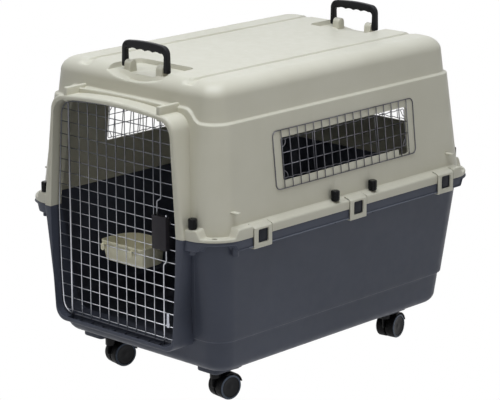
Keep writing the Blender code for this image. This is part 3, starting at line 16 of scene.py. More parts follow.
import bmesh
import bpy
import numpy as np
from mathutils import Matrix, Vector

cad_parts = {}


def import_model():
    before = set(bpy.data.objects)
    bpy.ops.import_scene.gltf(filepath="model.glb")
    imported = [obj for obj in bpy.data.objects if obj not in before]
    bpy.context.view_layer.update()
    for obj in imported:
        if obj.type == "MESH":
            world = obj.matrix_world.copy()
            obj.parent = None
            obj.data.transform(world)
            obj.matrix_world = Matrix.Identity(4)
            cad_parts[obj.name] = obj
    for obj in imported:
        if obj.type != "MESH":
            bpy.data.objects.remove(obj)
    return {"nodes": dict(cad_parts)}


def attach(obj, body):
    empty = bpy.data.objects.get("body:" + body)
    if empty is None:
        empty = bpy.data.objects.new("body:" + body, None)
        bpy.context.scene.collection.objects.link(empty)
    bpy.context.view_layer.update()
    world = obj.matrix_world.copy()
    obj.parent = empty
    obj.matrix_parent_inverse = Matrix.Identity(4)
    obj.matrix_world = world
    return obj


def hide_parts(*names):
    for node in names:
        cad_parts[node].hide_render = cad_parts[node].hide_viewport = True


LOG = logging.getLogger("crate")
Array = np.ndarray
Pair = tuple[float, float]
Place = tuple[float, float, float]
Piece = bpy.types.Object
Socket = bpy.types.NodeSocket
Material = bpy.types.Material

# The part stands this far further back than its own drawing, so that its box is centred
SHIFT = Matrix.Translation((0.0, 0.00395, 0.0))
WALL = 0.004
SPLIT_Z = 0.468
HALF_X = 0.330
HALF_Y = 0.496
CORNER = 0.074
# Up to here from the middle the shells' places stay where their runs put them
KNEE = (0.20, 0.36)
# Places closer than MERGE become one, and no length below TINY is divided by
MERGE = 0.00001
TINY = 1e-9
# A corner's smallest radius, and the share of a side that its arc or its curve may take
LEAST_RADIUS = 0.0004
ARC_SHARE = 0.48
CURVE_SHARE = 0.49
# Shares of a wire's radius: how far back its domed end begins, and how wide its tip is
DOME_START = 0.5
DOME_TIP = 0.55
WAYS = (-1.0, 1.0)
QUARTERS = tuple(product(WAYS, WAYS))
MIRROR_X = np.array([-1.0, 1.0])
MIRROR_Y = np.array([1.0, -1.0])
UP = (0.0, 0.0, 1.0)
BACK = (0.0, 1.0, 0.0)


# Curves and surfaces worked out as whole arrays
def smooth(value: Array | float, low: float, high: float) -> Array:
    """Ease from 0 at low to 1 at high, as 3t^2 - 2t^3.

    Args:
        value: Places to read the step at.
        low: Where the step begins.
        high: Where the step ends, which may be below low.

    Returns:
        The step's height at each place, from 0 to 1.
    """
    share = np.clip((np.asarray(value, float) - low) / (np.asarray(high, float) - low), 0.0, 1.0)
    return share * share * (3.0 - 2.0 * share)


def samples(stops: Sequence[tuple[float, float]]) -> Array:
    """Places along a line, with a pitch of their own between each two stops.

    Args:
        stops: Pairs of a place and the pitch from it to the next one.

    Returns:
        Rising places, the last stop included.
    """
    runs = []
    for (start, pitch), (end, _) in zip(stops, stops[1:]):
        count = max(1, round((end - start) / pitch))
        runs.append(np.linspace(start, end, count, endpoint=False))
    return np.concatenate(runs + [np.array([stops[-1][0]])])


def even_run(stops: Sequence[Pair]) -> Array:
    """Places on both sides of a middle, with the pitches that one side's stops give."""
    half = samples(stops)
    return np.concatenate([-half[:0:-1], half])


def around(steps: int) -> Array:
    """Even angles of one whole turn."""
    return np.linspace(0.0, 2.0 * np.pi, steps, endpoint=False)


def quarter(steps: int) -> Array:
    """Even angles of a quarter turn, both ends included."""
    return np.linspace(0.0, 0.5 * np.pi, steps + 1)


def at_height(outline: Array, z: float | Array) -> Array:
    """Places (x, y, z) of an outline (x, y)."""
    return np.column_stack([outline, np.broadcast_to(z, len(outline))])


def at_depth(outline: Array, y: float | Array) -> Array:
    """Places (x, y, z) of an outline (x, z)."""
    return np.column_stack([outline[:, 0], np.broadcast_to(y, len(outline)), outline[:, 1]])


def fillet(corners: Sequence[Place], steps: int = 8, closed: bool = True) -> Array:
    """Round the corners of a flat outline with arcs that touch both sides.

    The arc's centre lies on the corner's bisector, radius / sin(half angle) away.

    Args:
        corners: Each corner's two places and its radius.
        steps: Chords in each arc.
        closed: Whether the last corner leads back to the first; else both end as they are.

    Returns:
        Places of the rounded outline, shaped (places, 2).
    """
    data = np.array(corners, float)
    here, radius = data[:, :2], np.maximum(data[:, 2], LEAST_RADIUS)
    to_back = np.roll(here, 1, 0) - here
    to_next = np.roll(here, -1, 0) - here
    back_length = np.linalg.norm(to_back, axis=1)
    next_length = np.linalg.norm(to_next, axis=1)
    back_unit = to_back / back_length[:, None]
    next_unit = to_next / next_length[:, None]
    cosine = np.clip((back_unit * next_unit).sum(1), -0.9999, 0.9999)
    half = np.arccos(cosine) / 2.0
    reach = np.minimum(radius / np.tan(half), ARC_SHARE * np.minimum(back_length, next_length))
    radius = reach * np.tan(half)
    bisector = back_unit + next_unit
    bisector /= np.linalg.norm(bisector, axis=1)[:, None]
    centre = here + bisector * (radius / np.sin(half))[:, None]
    first = here + back_unit * reach[:, None] - centre
    last = here + next_unit * reach[:, None] - centre
    start = np.arctan2(first[:, 1], first[:, 0])
    sweep = np.arctan2(last[:, 1], last[:, 0]) - start
    sweep = (sweep + np.pi) % (2.0 * np.pi) - np.pi
    angle = start[:, None] + sweep[:, None] * np.linspace(0.0, 1.0, steps + 1)[None, :]
    arcs = centre[:, None, :] + radius[:, None, None] * np.stack([np.cos(angle), np.sin(angle)], -1)
    if closed:
        return arcs.reshape(-1, 2)
    return np.concatenate([here[:1], arcs[1:-1].reshape(-1, 2), here[-1:]])


def bend(points: Sequence[Sequence[float]], radius: float, steps: int = 6) -> Array:
    """Round the corners of an open line in space with quadratic curves.

    Each corner B becomes (1-t)^2 A + 2t(1-t) B + t^2 C between points on its two sides.

    Args:
        points: The line's corners, its two ends included.
        radius: How far from each corner its curve begins and ends.
        steps: Chords in each curve.

    Returns:
        Places of the rounded line, shaped (places, 3).
    """
    line = np.array(points, float)
    middle = line[1:-1]
    back, ahead = line[:-2] - middle, line[2:] - middle
    back_length = np.linalg.norm(back, axis=1)[:, None]
    ahead_length = np.linalg.norm(ahead, axis=1)[:, None]
    first = middle + back / back_length * np.minimum(radius, CURVE_SHARE * back_length)
    last = middle + ahead / ahead_length * np.minimum(radius, CURVE_SHARE * ahead_length)
    t = np.linspace(0.0, 1.0, steps + 1)[None, :, None]
    curve = (1 - t) ** 2 * first[:, None] + 2 * t * (1 - t) * middle[:, None] + t**2 * last[:, None]
    return np.concatenate([line[:1], curve.reshape(-1, 3), line[-1:]])


def stretched(run: Array, knee: float, inner: Array | float) -> Array:
    """Places of a run, held as far as a knee, and stretched evenly past it to end at inner."""
    out = np.abs(run)
    far = knee + (out - knee) * (inner - knee) / (out.max() - knee)
    return np.sign(run) * np.where(out > knee, far, out)


def ring(sizes: Array, run_x: Array, run_y: Array, arc: int, knee: Pair = KNEE) -> Array:
    """Rounded rectangles, one for each row of sizes, with matching places along each.

    The places go anticlockwise: the rear right arc, the rear side, the rear left arc, the
    left side, the front left arc, the front side, the front right arc and the right side.

    Args:
        sizes: Half width, half length and corner radius, shaped (rows, 3).
        run_x: Rising places along the front and the rear, even about the middle.
        run_y: Rising places along the left and the right, even about the middle.
        arc: Chords in each corner's arc.
        knee: Distances from the middle up to which run_x and run_y hold in every row.

    Returns:
        Places shaped (rows, places, 2).
    """
    half_x, half_y, corner = (sizes[:, i][:, None] for i in range(3))
    inner_x, inner_y = half_x - corner, half_y - corner
    along_x = stretched(run_x[None, :], knee[0], inner_x)
    along_y = stretched(run_y[None, :], knee[1], inner_y)
    turn = quarter(arc)[None, 1:-1]

    def arc_part(index: int) -> Array:
        """Inner places of one quarter's arc in every row."""
        way_x = 1.0 if index in (0, 3) else -1.0
        way_y = 1.0 if index in (0, 1) else -1.0
        angle = turn + index * 0.5 * np.pi
        x, y = way_x * inner_x + corner * np.cos(angle), way_y * inner_y + corner * np.sin(angle)
        return np.stack([x, y], -1)

    def side_part(x: Array, y: Array) -> Array:
        """Places along one straight side in every row."""
        return np.stack(np.broadcast_arrays(x, y), -1)

    return np.concatenate([
        arc_part(0), side_part(along_x[:, ::-1], half_y), arc_part(1), side_part(-half_x, along_y[:, ::-1]),
        arc_part(2), side_part(along_x, -half_y), arc_part(3), side_part(half_x, along_y)], 1)


def quads(rows: int, columns: int, wrap_rows: bool, wrap_columns: bool, start: int) -> Array:
    """Faces between the places of a grid, shaped (faces, 4).

    Args:
        rows: Rows of places.
        columns: Places in each row.
        wrap_rows: Whether the last row meets the first.
        wrap_columns: Whether each row closes on itself.
        start: Number of the grid's first place in its mesh.

    Returns:
        The four place numbers of each face.
    """
    row = np.arange(rows if wrap_rows else rows - 1)[:, None]
    column = np.arange(columns if wrap_columns else columns - 1)[None, :]
    next_row, next_column = (row + 1) % rows, (column + 1) % columns
    this, following = row * columns, next_row * columns
    corners = [this + column, this + next_column, following + next_column, following + column]
    return np.stack(corners, -1).reshape(-1, 4) + start


@dataclass
class Form:
    """Surfaces that are gathered into one mesh."""

    points: list[Array] = field(default_factory=list)
    faces: list[tuple[int, ...]] = field(default_factory=list)
    count: int = 0

    def sheet(self, grid: Array, wrap_rows: bool = False, wrap_columns: bool = False) -> int:
        """Add a grid of places shaped (rows, places, 3), and return its first number."""
        start = self.count
        rows, columns = grid.shape[:2]
        self.points.append(grid.reshape(-1, 3))
        self.faces.extend(map(tuple, quads(rows, columns, wrap_rows, wrap_columns, start).tolist()))
        self.count += rows * columns
        return start

    def loft(self, rings: Array, capped: bool = True) -> None:
        """Add a skin through closed rings shaped (rings, places, 3), with flat ends if capped."""
        start = self.sheet(rings, wrap_columns=True)
        rows, columns = rings.shape[:2]
        if capped:
            self.faces.append(tuple(range(start, start + columns)))
            last = start + (rows - 1) * columns
            self.faces.append(tuple(range(last + columns - 1, last - 1, -1)))

    def sweep(self, path: Array, section: Array, normal: Sequence[float], closed: bool = False,
              grow: Array | None = None) -> None:
        """Carry a flat section along a path.

        At each place of the path the section's first axis is the path's direction crossed
        with the normal, and its second axis is square to both.

        Args:
            path: Places shaped (places, 3).
            section: Closed outline shaped (places, 2), or one for each place of the path.
            normal: A direction that the path never follows.
            closed: Whether the path closes on itself.
            grow: Scale of the section at each place of the path.
        """
        if closed:
            tangent = np.roll(path, -1, 0) - np.roll(path, 1, 0)
        else:
            tangent = np.gradient(path, axis=0)
        tangent /= np.linalg.norm(tangent, axis=1)[:, None]
        across = np.cross(tangent, np.array(normal, float)[None, :])
        across /= np.linalg.norm(across, axis=1)[:, None]
        upward = np.cross(across, tangent)
        outline = np.broadcast_to(section, (len(path),) + section.shape[-2:])
        if grow is not None:
            outline = outline * grow[:, None, None]
        rings = path[:, None] + across[:, None] * outline[..., :1] + upward[:, None] * outline[..., 1:]
        if closed:
            self.sheet(rings, wrap_rows=True, wrap_columns=True)
        else:
            self.loft(rings)

    def rod(self, path: Array, radius: float, normal: Sequence[float], sides: int = 8,
            closed: bool = False) -> None:
        """Carry a circle along a path, as a round wire, with domed ends unless closed."""
        section = circle((0.0, 0.0), radius, sides)
        grow = None
        if not closed:
            first = (path[0] - path[1]) / np.linalg.norm(path[0] - path[1])
            last = (path[-1] - path[-2]) / np.linalg.norm(path[-1] - path[-2])
            path = np.concatenate([
                [path[0]], [path[0] - first * radius * DOME_START], path[1:-1],
                [path[-1] - last * radius * DOME_START], [path[-1]]])
            grow = np.ones(len(path))
            grow[[0, -1]] = DOME_TIP
        self.sweep(path, section, normal, closed, grow)

    def bar(self, start: Place, end: Place, radius: float, normal: Sequence[float], sides: int = 8) -> None:
        """Add a straight round wire with domed ends."""
        self.rod(np.array([start, end]), radius, normal, sides)

    def spun(self, profile: Array, steps: int, centre: Place) -> None:
        """Turn a closed profile of (radius, along) places about a line along X through a centre."""
        turn = around(steps)[:, None]
        radius, along = profile[None, :, 0], np.broadcast_to(profile[None, :, 1], (steps, len(profile)))
        places = np.stack([along, radius * np.cos(turn), radius * np.sin(turn)], -1)
        self.sheet(places + np.array(centre, float), wrap_rows=True, wrap_columns=True)

    def block(self, low: Place, high: Place, radius: float, steps: int = 3) -> None:
        """A box with rounded edges: rounded rectangles along Z, whose ends draw in on an arc."""
        low_v, high_v = np.array(low, float), np.array(high, float)
        half, centre = (high_v - low_v) / 2.0, (high_v + low_v) / 2.0
        radius = float(min(radius, 0.98 * half.min()))
        inward = radius * (1.0 - np.cos(quarter(steps)))
        level = half[2] - radius + radius * np.sin(quarter(steps))
        rings = []
        for draw, z in zip(np.concatenate([inward[::-1], inward]), np.concatenate([-level[::-1], level])):
            x, y = half[0] - draw, half[1] - draw
            rings.append(at_height(rounded_rectangle((-x, -y), (x, y), radius, steps), z))
        self.loft(np.array(rings) + centre)

    def moved(self, matrix: Matrix) -> Form:
        """Carry every place so far by a matrix, and return the form."""
        turn = np.array(matrix, float)
        self.points = [points @ turn[:3, :3].T + turn[:3, 3] for points in self.points]
        return self

    def build(self, name: str, sharp: float = 38.0) -> Piece:
        """Make the mesh object, with doubles merged, faces outwards and smooth below an angle."""
        mesh = bpy.data.meshes.new(name)
        places = np.concatenate(self.points)
        mesh.from_pydata(places.tolist(), [], self.faces)
        tidy(mesh, flat_ends=True)
        obj = bpy.data.objects.new(name, mesh)
        bpy.context.scene.collection.objects.link(obj)
        shade(obj, sharp)
        return obj


def inset(outline: Array, amount: float) -> Array:
    """Draw a closed flat outline in by a length, square to its own line at each place.

    Args:
        outline: Places shaped (places, 2), in either turning sense.
        amount: How far to move each place inwards.

    Returns:
        The smaller outline, place for place.
    """
    ahead = np.roll(outline, -1, 0) - outline
    ahead /= np.maximum(np.linalg.norm(ahead, axis=1), TINY)[:, None]
    back = np.roll(ahead, 1, 0)
    along = ahead + back
    along /= np.maximum(np.linalg.norm(along, axis=1), TINY)[:, None]
    left = np.stack([-along[:, 1], along[:, 0]], -1)
    following = np.roll(outline, -1, 0)
    area = (outline[:, 0] * following[:, 1] - following[:, 0] * outline[:, 1]).sum()
    reach = amount / np.clip((ahead * along).sum(1), 0.5, 1.0)
    return outline + left * math.copysign(1.0, area) * reach[:, None]


class Plane(Enum):
    """Which two axes a flat outline lies along; the third is its thickness."""

    XY = "XY"
    XZ = "XZ"
    YZ = "YZ"


def slab(form: Form, outline: Array, low: float, high: float, radius: float, plane: Plane,
         steps: int = 3) -> None:
    """Give a flat outline thickness, with rounded edges on both faces.

    Args:
        form: The form that it is added to.
        outline: Closed outline shaped (places, 2).
        low: Lower depth along the outline's normal.
        high: Upper depth along it.
        radius: Radius of the edges.
        plane: The plane of the outline.
        steps: Chords in each edge's arc.
    """
    draw = radius * (1.0 - np.cos(quarter(steps)))
    level = radius * np.sin(quarter(steps))
    depths = np.concatenate([low + radius - level[::-1], high - radius + level])
    draws = np.concatenate([draw[::-1], draw])
    flats = np.stack([inset(outline, amount) for amount in draws])
    third = np.broadcast_to(depths[:, None, None], flats.shape[:2] + (1,))
    one, two = flats[..., :1], flats[..., 1:]
    order = {Plane.XY: (one, two, third), Plane.XZ: (one, third, two), Plane.YZ: (third, one, two)}[plane]
    form.loft(np.concatenate(order, -1))


def rounded_rectangle(low: Pair, high: Pair, radius: float, steps: int = 5) -> Array:
    """Outline of a rectangle with rounded corners."""
    corners = (high[0], low[1]), high, (low[0], high[1]), low
    return fillet([(*corner, radius) for corner in corners], steps)


def circle(centre: Pair, radius: float, steps: int = 24) -> Array:
    """Outline of a circle."""
    turn = around(steps)
    return np.stack([centre[0] + radius * np.cos(turn), centre[1] + radius * np.sin(turn)], -1)


def tidy(mesh: bpy.types.Mesh, flat_ends: bool = False) -> None:
    """Merge doubles, drop faces with no area, and turn every face outwards.

    Args:
        mesh: The mesh to work on.
        flat_ends: Whether to part faces with more than four corners into triangles.
    """
    bm = bmesh.new()
    bm.from_mesh(mesh)
    bmesh.ops.remove_doubles(bm, verts=bm.verts, dist=MERGE)
    bmesh.ops.dissolve_degenerate(bm, edges=bm.edges, dist=MERGE)
    loose = [vert for vert in bm.verts if not vert.link_faces]
    bmesh.ops.delete(bm, geom=loose, context="VERTS")
    bmesh.ops.recalc_face_normals(bm, faces=bm.faces)
    if flat_ends:
        flats = [face for face in bm.faces if len(face.verts) > 4]
        bmesh.ops.triangulate(bm, faces=flats, ngon_method="EAR_CLIP")
    bm.to_mesh(mesh)
    bm.free()


def shade(obj: Piece, sharp: float) -> None:
    """Shade a mesh smooth, with edges sharper than an angle in degrees left sharp."""
    obj.data.shade_smooth()
    obj.data.set_sharp_from_angle(angle=math.radians(sharp))


def carve(obj: Piece, cutters: Iterable[Piece], sharp: float = 38.0) -> None:
    """Cut closed forms out of a closed piece for good, and drop them."""
    for cutter in cutters:
        modifier = obj.modifiers.new("cut", "BOOLEAN")
        modifier.operation = "DIFFERENCE"
        modifier.solver = "EXACT"
        modifier.object = cutter
        graph = bpy.context.evaluated_depsgraph_get()
        mesh = bpy.data.meshes.new_from_object(obj.evaluated_get(graph))
        obj.modifiers.remove(modifier)
        old, obj.data = obj.data, mesh
        bpy.data.meshes.remove(old)
        bpy.data.meshes.remove(cutter.data)
    tidy(obj.data)
    shade(obj, sharp)


def join(obj: Piece, others: Iterable[Piece], sharp: float = 38.0) -> None:
    """Add the meshes of other pieces, as closed forms of their own, and drop them."""
    bm = bmesh.new()
    bm.from_mesh(obj.data)
    for other in others:
        bm.from_mesh(other.data)
        bpy.data.meshes.remove(other.data)
    bm.to_mesh(obj.data)
    bm.free()
    shade(obj, sharp)


# Finishes
class NodeMaker:
    """Adds and links nodes in one node tree."""

    def __init__(self, tree: bpy.types.NodeTree) -> None:
        """Keep the tree to work in."""
        self.tree = tree

    def add(self, kind: str, inputs: dict[str | int, object] | None = None,
            **settings: object) -> bpy.types.Node:
        """Add a node, set its properties, and set or link its inputs.

        Args:
            kind: Blender's name of the node type.
            inputs: For each input socket, a value or the output socket to link.
            settings: The node's own properties.

        Returns:
            The new node.
        """
        node = self.tree.nodes.new(kind)
        for key, value in settings.items():
            setattr(node, key, value)
        self.feed(node, inputs or {})
        return node

    def feed(self, node: bpy.types.Node, inputs: dict[str | int, object]) -> None:
        """Set or link inputs of a node."""
        for key, value in inputs.items():
            if isinstance(value, Socket):
                self.tree.links.new(value, node.inputs[key])
            else:
                node.inputs[key].default_value = value

    def group(self, tree: bpy.types.NodeTree, inputs: dict[str | int, object]) -> Sequence:
        """Add a node group, and return its outputs."""
        return self.add("ShaderNodeGroup", inputs, node_tree=tree).outputs

    def mix(self, factor: object, first: object, second: object) -> Socket:
        """Blend two colours, and return the result's socket."""
        return self.add("ShaderNodeMix", {0: factor, 6: first, 7: second}, data_type="RGBA").outputs[2]

    def range(self, value: Socket, low: float, high: float, to_low: float = 0.0,
              to_high: float = 1.0) -> Socket:
        """Map a value from one range to another, held inside it."""
        inputs = {"Value": value, "From Min": low, "From Max": high, "To Min": to_low, "To Max": to_high}
        return self.add("ShaderNodeMapRange", inputs).outputs[0]

    def sum(self, first: object, second: object, how: str = "ADD") -> Socket:
        """Combine two numbers, and return the result's socket."""
        return self.add("ShaderNodeMath", {0: first, 1: second}, operation=how).outputs[0]

    def noise(self, vector: object, scale: object, detail: float, rough: float = 0.5) -> Socket:
        """Add a noise texture, and return its height's socket."""
        inputs = {"Vector": vector, "Scale": scale, "Detail": detail, "Roughness": rough}
        return self.add("ShaderNodeTexNoise", inputs).outputs[0]

    def seen(self) -> Socket:
        """One for rays from the camera, through glass or off a gloss, else nought."""
        ray = self.add("ShaderNodeLightPath").outputs
        direct = self.sum(ray["Is Camera Ray"], ray["Is Transmission Ray"], "MAXIMUM")
        return self.sum(direct, ray["Is Glossy Ray"], "MAXIMUM")


def new_group(name: str, inputs: Sequence[tuple[str, float]],
              outputs: Sequence[str]) -> tuple[NodeMaker, Sequence, bpy.types.Node]:
    """Start a shader node group with a vector input, number inputs and number outputs.

    Args:
        name: The group's name.
        inputs: Each number input's name and value.
        outputs: Each output's name.

    Returns:
        The group's maker, the sockets of its inputs, and the node of its outputs.
    """
    tree = bpy.data.node_groups.new(name, "ShaderNodeTree")
    tree.interface.new_socket(name="Vector", in_out="INPUT", socket_type="NodeSocketVector")
    for label, value in inputs:
        socket = tree.interface.new_socket(name=label, in_out="INPUT", socket_type="NodeSocketFloat")
        socket.default_value = value
    for label in outputs:
        tree.interface.new_socket(name=label, in_out="OUTPUT", socket_type="NodeSocketFloat")
    make = NodeMaker(tree)
    return make, make.add("NodeGroupInput").outputs, make.add("NodeGroupOutput")


def moulded_grain_group() -> bpy.types.NodeTree:
    """Spark-eroded grain of a moulded plastic: fine pebbles, slow waves and cloudy tone."""
    inputs = [("Pebble Scale", 900.0), ("Wave Scale", 9.0), ("Wave Share", 0.2)]
    make, start, end = new_group("moulded_grain", inputs, ["Height", "Tone", "Gloss"])
    place = start["Vector"]
    pebble = make.noise(place, start["Pebble Scale"], 3.0, 0.6)
    wave = make.noise(place, start["Wave Scale"], 2.0, 0.45)
    height = make.sum(pebble, make.sum(wave, start["Wave Share"], "MULTIPLY"))
    tone, gloss = make.noise(place, 4.5, 4.0, 0.55), make.noise(place, 38.0, 5.0, 0.6)
    make.feed(end, {"Height": height, "Tone": tone, "Gloss": gloss})
    return make.tree


def handling_wear_group() -> bpy.types.NodeTree:
    """Faint scuffs from handling: thin scratches in patches, and settled dust."""
    make, start, end = new_group("handling_wear", [("Scuff Scale", 60.0), ("Level", 0.0)], ["Scuff", "Dust"])
    place = start["Vector"]
    long_place = make.add("ShaderNodeMapping", {"Vector": place, "Scale": (1.0, 1.0, 9.0)}).outputs[0]
    thin = make.range(make.noise(long_place, start["Scuff Scale"], 6.0, 0.75), 0.60, 0.72)
    patch = make.range(make.noise(place, 6.0, 2.0), 0.50, 0.68)
    speck = make.range(make.noise(place, 240.0, 4.0), 0.45, 0.75)
    scuff, dust = make.sum(thin, patch, "MULTIPLY"), make.sum(speck, start["Level"], "MULTIPLY")
    make.feed(end, {"Scuff": scuff, "Dust": dust})
    return make.tree


def drawn_wire_group() -> bpy.types.NodeTree:
    """Plated steel wire: cloudy zinc tone, small dull spots and a fine drawn surface."""
    make, start, end = new_group("drawn_wire", [("Spot Scale", 130.0)], ["Height", "Tone", "Gloss"])
    place = start["Vector"]
    tone, spot = make.noise(place, 22.0, 3.0), make.noise(place, start["Spot Scale"], 4.0, 0.7)
    make.feed(end, {"Height": make.noise(place, 1500.0, 2.0), "Tone": tone, "Gloss": spot})
    return make.tree


class Effects:
    """The node groups that the finishes share, each made once."""

    def __init__(self) -> None:
        """Make every group."""
        self.grain = moulded_grain_group()
        self.wear = handling_wear_group()
        self.wire = drawn_wire_group()


@dataclass(frozen=True)
class Coating:
    """What every finish has: its name, and two screen tones that clouds mix."""

    name: str
    colour: Place
    shade: Place

    def start(self) -> tuple[Material, NodeMaker, Socket]:
        """New material, the maker of its nodes, and the socket of its texture's places."""
        material = bpy.data.materials.new(self.name)
        material.use_nodes = True
        make = NodeMaker(material.node_tree)
        return material, make, make.add("ShaderNodeTexCoord").outputs["Object"]

    def finish(self, make: NodeMaker, height: Socket, strength: float, depth: float,
               inputs: dict[str | int, object]) -> None:
        """Feed the shader, and bump its surface.

        Args:
            make: The maker of the material's nodes.
            height: Socket of the surface's height.
            strength: Strength of the bump.
            depth: Depth of the bump.
            inputs: The shader's other inputs.
        """
        bump = make.add("ShaderNodeBump", {"Height": height, "Strength": strength, "Distance": depth})
        make.feed(make.tree.nodes["Principled BSDF"], {**inputs, "Normal": bump.outputs[0]})


@dataclass(frozen=True)
class Plastic(Coating):
    """A moulded plastic with grain, cloudy tone, scuffs and a faint dust."""

    scuff: Place
    roughness: float = 0.45
    pebble: float = 900.0
    bump: float = 0.25
    scuffing: float = 0.25
    dust: float = 0.0
    specular: float = 0.45
    gloss_swing: float = 0.08
    scuff_roughness: float = 0.12
    pebble_depth: float = 0.00006
    dust_tone: tuple[float, float, float, float] = (0.60, 0.58, 0.53, 1.0)

    def make(self, effects: Effects) -> Material:
        """Build the material, and return it."""
        material, make, place = self.start()
        grain = make.group(effects.grain, {"Vector": place, "Pebble Scale": self.pebble})
        wear = make.group(effects.wear, {"Vector": place, "Level": self.dust})
        colour = make.mix(make.range(grain["Tone"], 0.34, 0.66), linear(self.shade), linear(self.colour))
        colour = make.mix(make.sum(wear["Scuff"], self.scuffing, "MULTIPLY"), colour, linear(self.scuff))
        colour = make.mix(wear["Dust"], colour, self.dust_tone)
        low, high = self.roughness - self.gloss_swing, self.roughness + self.gloss_swing
        worn = make.sum(wear["Scuff"], self.scuff_roughness * self.scuffing, "MULTIPLY")
        rough = make.sum(make.range(grain["Gloss"], 0.3, 0.7, low, high), worn)
        self.finish(make, grain["Height"], self.bump, self.pebble_depth, {
            "Base Color": colour, "Roughness": rough, "Specular IOR Level": self.specular})
        return material


@dataclass(frozen=True)
class Metal(Coating):
    """Plated steel with a cloudy tone and dull spots, and painted shade that darkens it above and in the
    sill's trough.
    """

    roughness: float = 0.30
    # Painted shade: how dark it gets, and the heights where it begins and where it is full
    painted_shade: float = 0.0
    unshaded_z: float = 0.22
    full_shade_z: float = 0.62
    # Painted shade over the sill's trough: full below the first height, gone above the second
    trough_z: Pair = (0.188, 0.200)
    gloss_swing: Pair = (-0.08, 0.14)
    bump: float = 0.12
    bump_depth: float = 0.00004
    # Colour of the painted shade
    painted_shade_tone: tuple[float, float, float, float] = (0.050, 0.053, 0.066, 1.0)

    def make(self, effects: Effects) -> Material:
        """Build the material, and return it. Painted shade darkens it evenly with height, and in the sill's
        trough.
        """
        material, make, place = self.start()
        wire = make.group(effects.wire, {"Vector": place})
        colour = make.mix(make.range(wire["Tone"], 0.35, 0.65), linear(self.shade), linear(self.colour))
        # Painted shade, darker with height and in the sill's trough, mixed into the colour
        if self.painted_shade > 0.0:
            height = make.add("ShaderNodeSeparateXYZ", {0: place}).outputs["Z"]
            share = make.range(height, self.unshaded_z, self.full_shade_z, 0.0, self.painted_shade)
            share = make.sum(share, make.range(height, *self.trough_z, self.painted_shade, 0.0), "MAXIMUM")
            colour = make.mix(share, colour, self.painted_shade_tone)
        rough = make.range(wire["Gloss"], 0.35, 0.7, *(self.roughness + swing for swing in self.gloss_swing))
        self.finish(make, wire["Height"], self.bump, self.bump_depth, {
            "Base Color": colour, "Roughness": rough, "Metallic": 1.0})
        return material


def linear(tone: Place) -> tuple[float, float, float, float]:
    """Change a colour written as 0 to 255 screen values into linear light, fully opaque."""
    values = np.array(tone) / 255.0
    values = np.where(values <= 0.04045, values / 12.92, ((values + 0.055) / 1.055) ** 2.4)
    return (*(float(value) for value in values), 1.0)


class Finish(Enum):
    """Every finish on the crate. A plastic's four tones are its own, its clouds' and its scuffs'."""

    UPPER = Plastic("upper_shell_plastic", (206, 203, 188), (200, 197, 181), (226, 224, 214),
                    roughness=0.42, pebble=700.0, bump=0.30, scuffing=0.10)
    LOWER = Plastic("lower_shell_plastic", (75, 79, 92), (69, 73, 85), (110, 112, 118),
                    roughness=0.46, pebble=700.0, bump=0.35, scuffing=0.16, specular=0.22)
    # The lower shell's plastic, darkened as painted shade for the catches in the clips' windows
    SHADED_CATCH = Plastic("clip_catch_painted_shade_plastic", (27, 30, 39), (23, 26, 34), (92, 95, 102),
                    roughness=0.35, pebble=700.0, bump=0.20, scuffing=0.10, specular=0.12)
    # A paler plastic over the lower rim's bead: a painted highlight on its edge
    HIGHLIGHT_BEAD = Plastic("bead_painted_highlight_plastic", (104, 109, 122), (92, 97, 110), (140, 142, 150),
                   roughness=0.40, pebble=700.0, bump=0.20, scuffing=0.16, specular=0.25)
    CLIP = Plastic("side_clip_plastic", (206, 203, 188), (199, 196, 180), (228, 226, 216),
                   roughness=0.36, pebble=1100.0, bump=0.18, scuffing=0.10)
    BLACK = Plastic("black_fitting_plastic", (18, 18, 21), (14, 14, 17), (66, 66, 70),
                    roughness=0.34, pebble=1300.0, bump=0.22, scuffing=0.12, specular=0.16)
    KNOB = Plastic("clamp_knob_plastic", (11, 12, 15), (8, 9, 12), (50, 50, 54),
                   roughness=0.14, pebble=1500.0, bump=0.06, scuffing=0.06, specular=0.12)
    HOUSING = Plastic("latch_housing_plastic", (50, 48, 52), (44, 42, 46), (84, 83, 86),
                      roughness=0.5, pebble=900.0, bump=0.3, scuffing=0.12, specular=0.12)
    TYRE = Plastic("wheel_tyre_rubber", (20, 21, 24), (15, 16, 18), (70, 70, 72),
                   roughness=0.55, pebble=800.0, bump=0.3, scuffing=0.2, dust=0.04, specular=0.10)
    HUB = Plastic("wheel_hub_plastic", (26, 27, 31), (21, 22, 26), (80, 81, 86),
                  roughness=0.4, pebble=1100.0, bump=0.25, scuffing=0.14, specular=0.16)
    BOWL = Plastic("feeding_bowl_plastic", (218, 213, 187), (210, 205, 177), (236, 233, 216),
                   roughness=0.40, pebble=1200.0, bump=0.18, scuffing=0.12)
    # A lighter ring on the wheels, its tone lifted further as painted light against the shade under the crate
    RIM_WITH_PAINTED_LIGHT = Plastic("wheel_rim_plastic_painted_light", (104, 114, 130), (94, 104, 120), (100, 102, 110),
                  roughness=0.45, pebble=1000.0, bump=0.25, scuffing=0.12, specular=0.2)
    # The door wires carry painted shade: darker with height and in the sill's trough
    WIRE = Metal("plated_wire", (228, 230, 236), (205, 208, 215), roughness=0.34, painted_shade=0.90)
    DARK_WIRE = Metal("plated_grille_wire", (104, 104, 110), (78, 78, 84), roughness=0.36)
    SHEET = Metal("plated_sheet_steel", (196, 199, 208), (176, 180, 190), roughness=0.28)


class Slot(Enum):
    """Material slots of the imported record."""

    UPPER = "upper_plastic"
    LOWER = "lower_plastic"
    BLACK = "black_plastic"
    WIRE = "wire"
    BOWL = "bowl_plastic"
    WHEEL = "wheel_rubber"


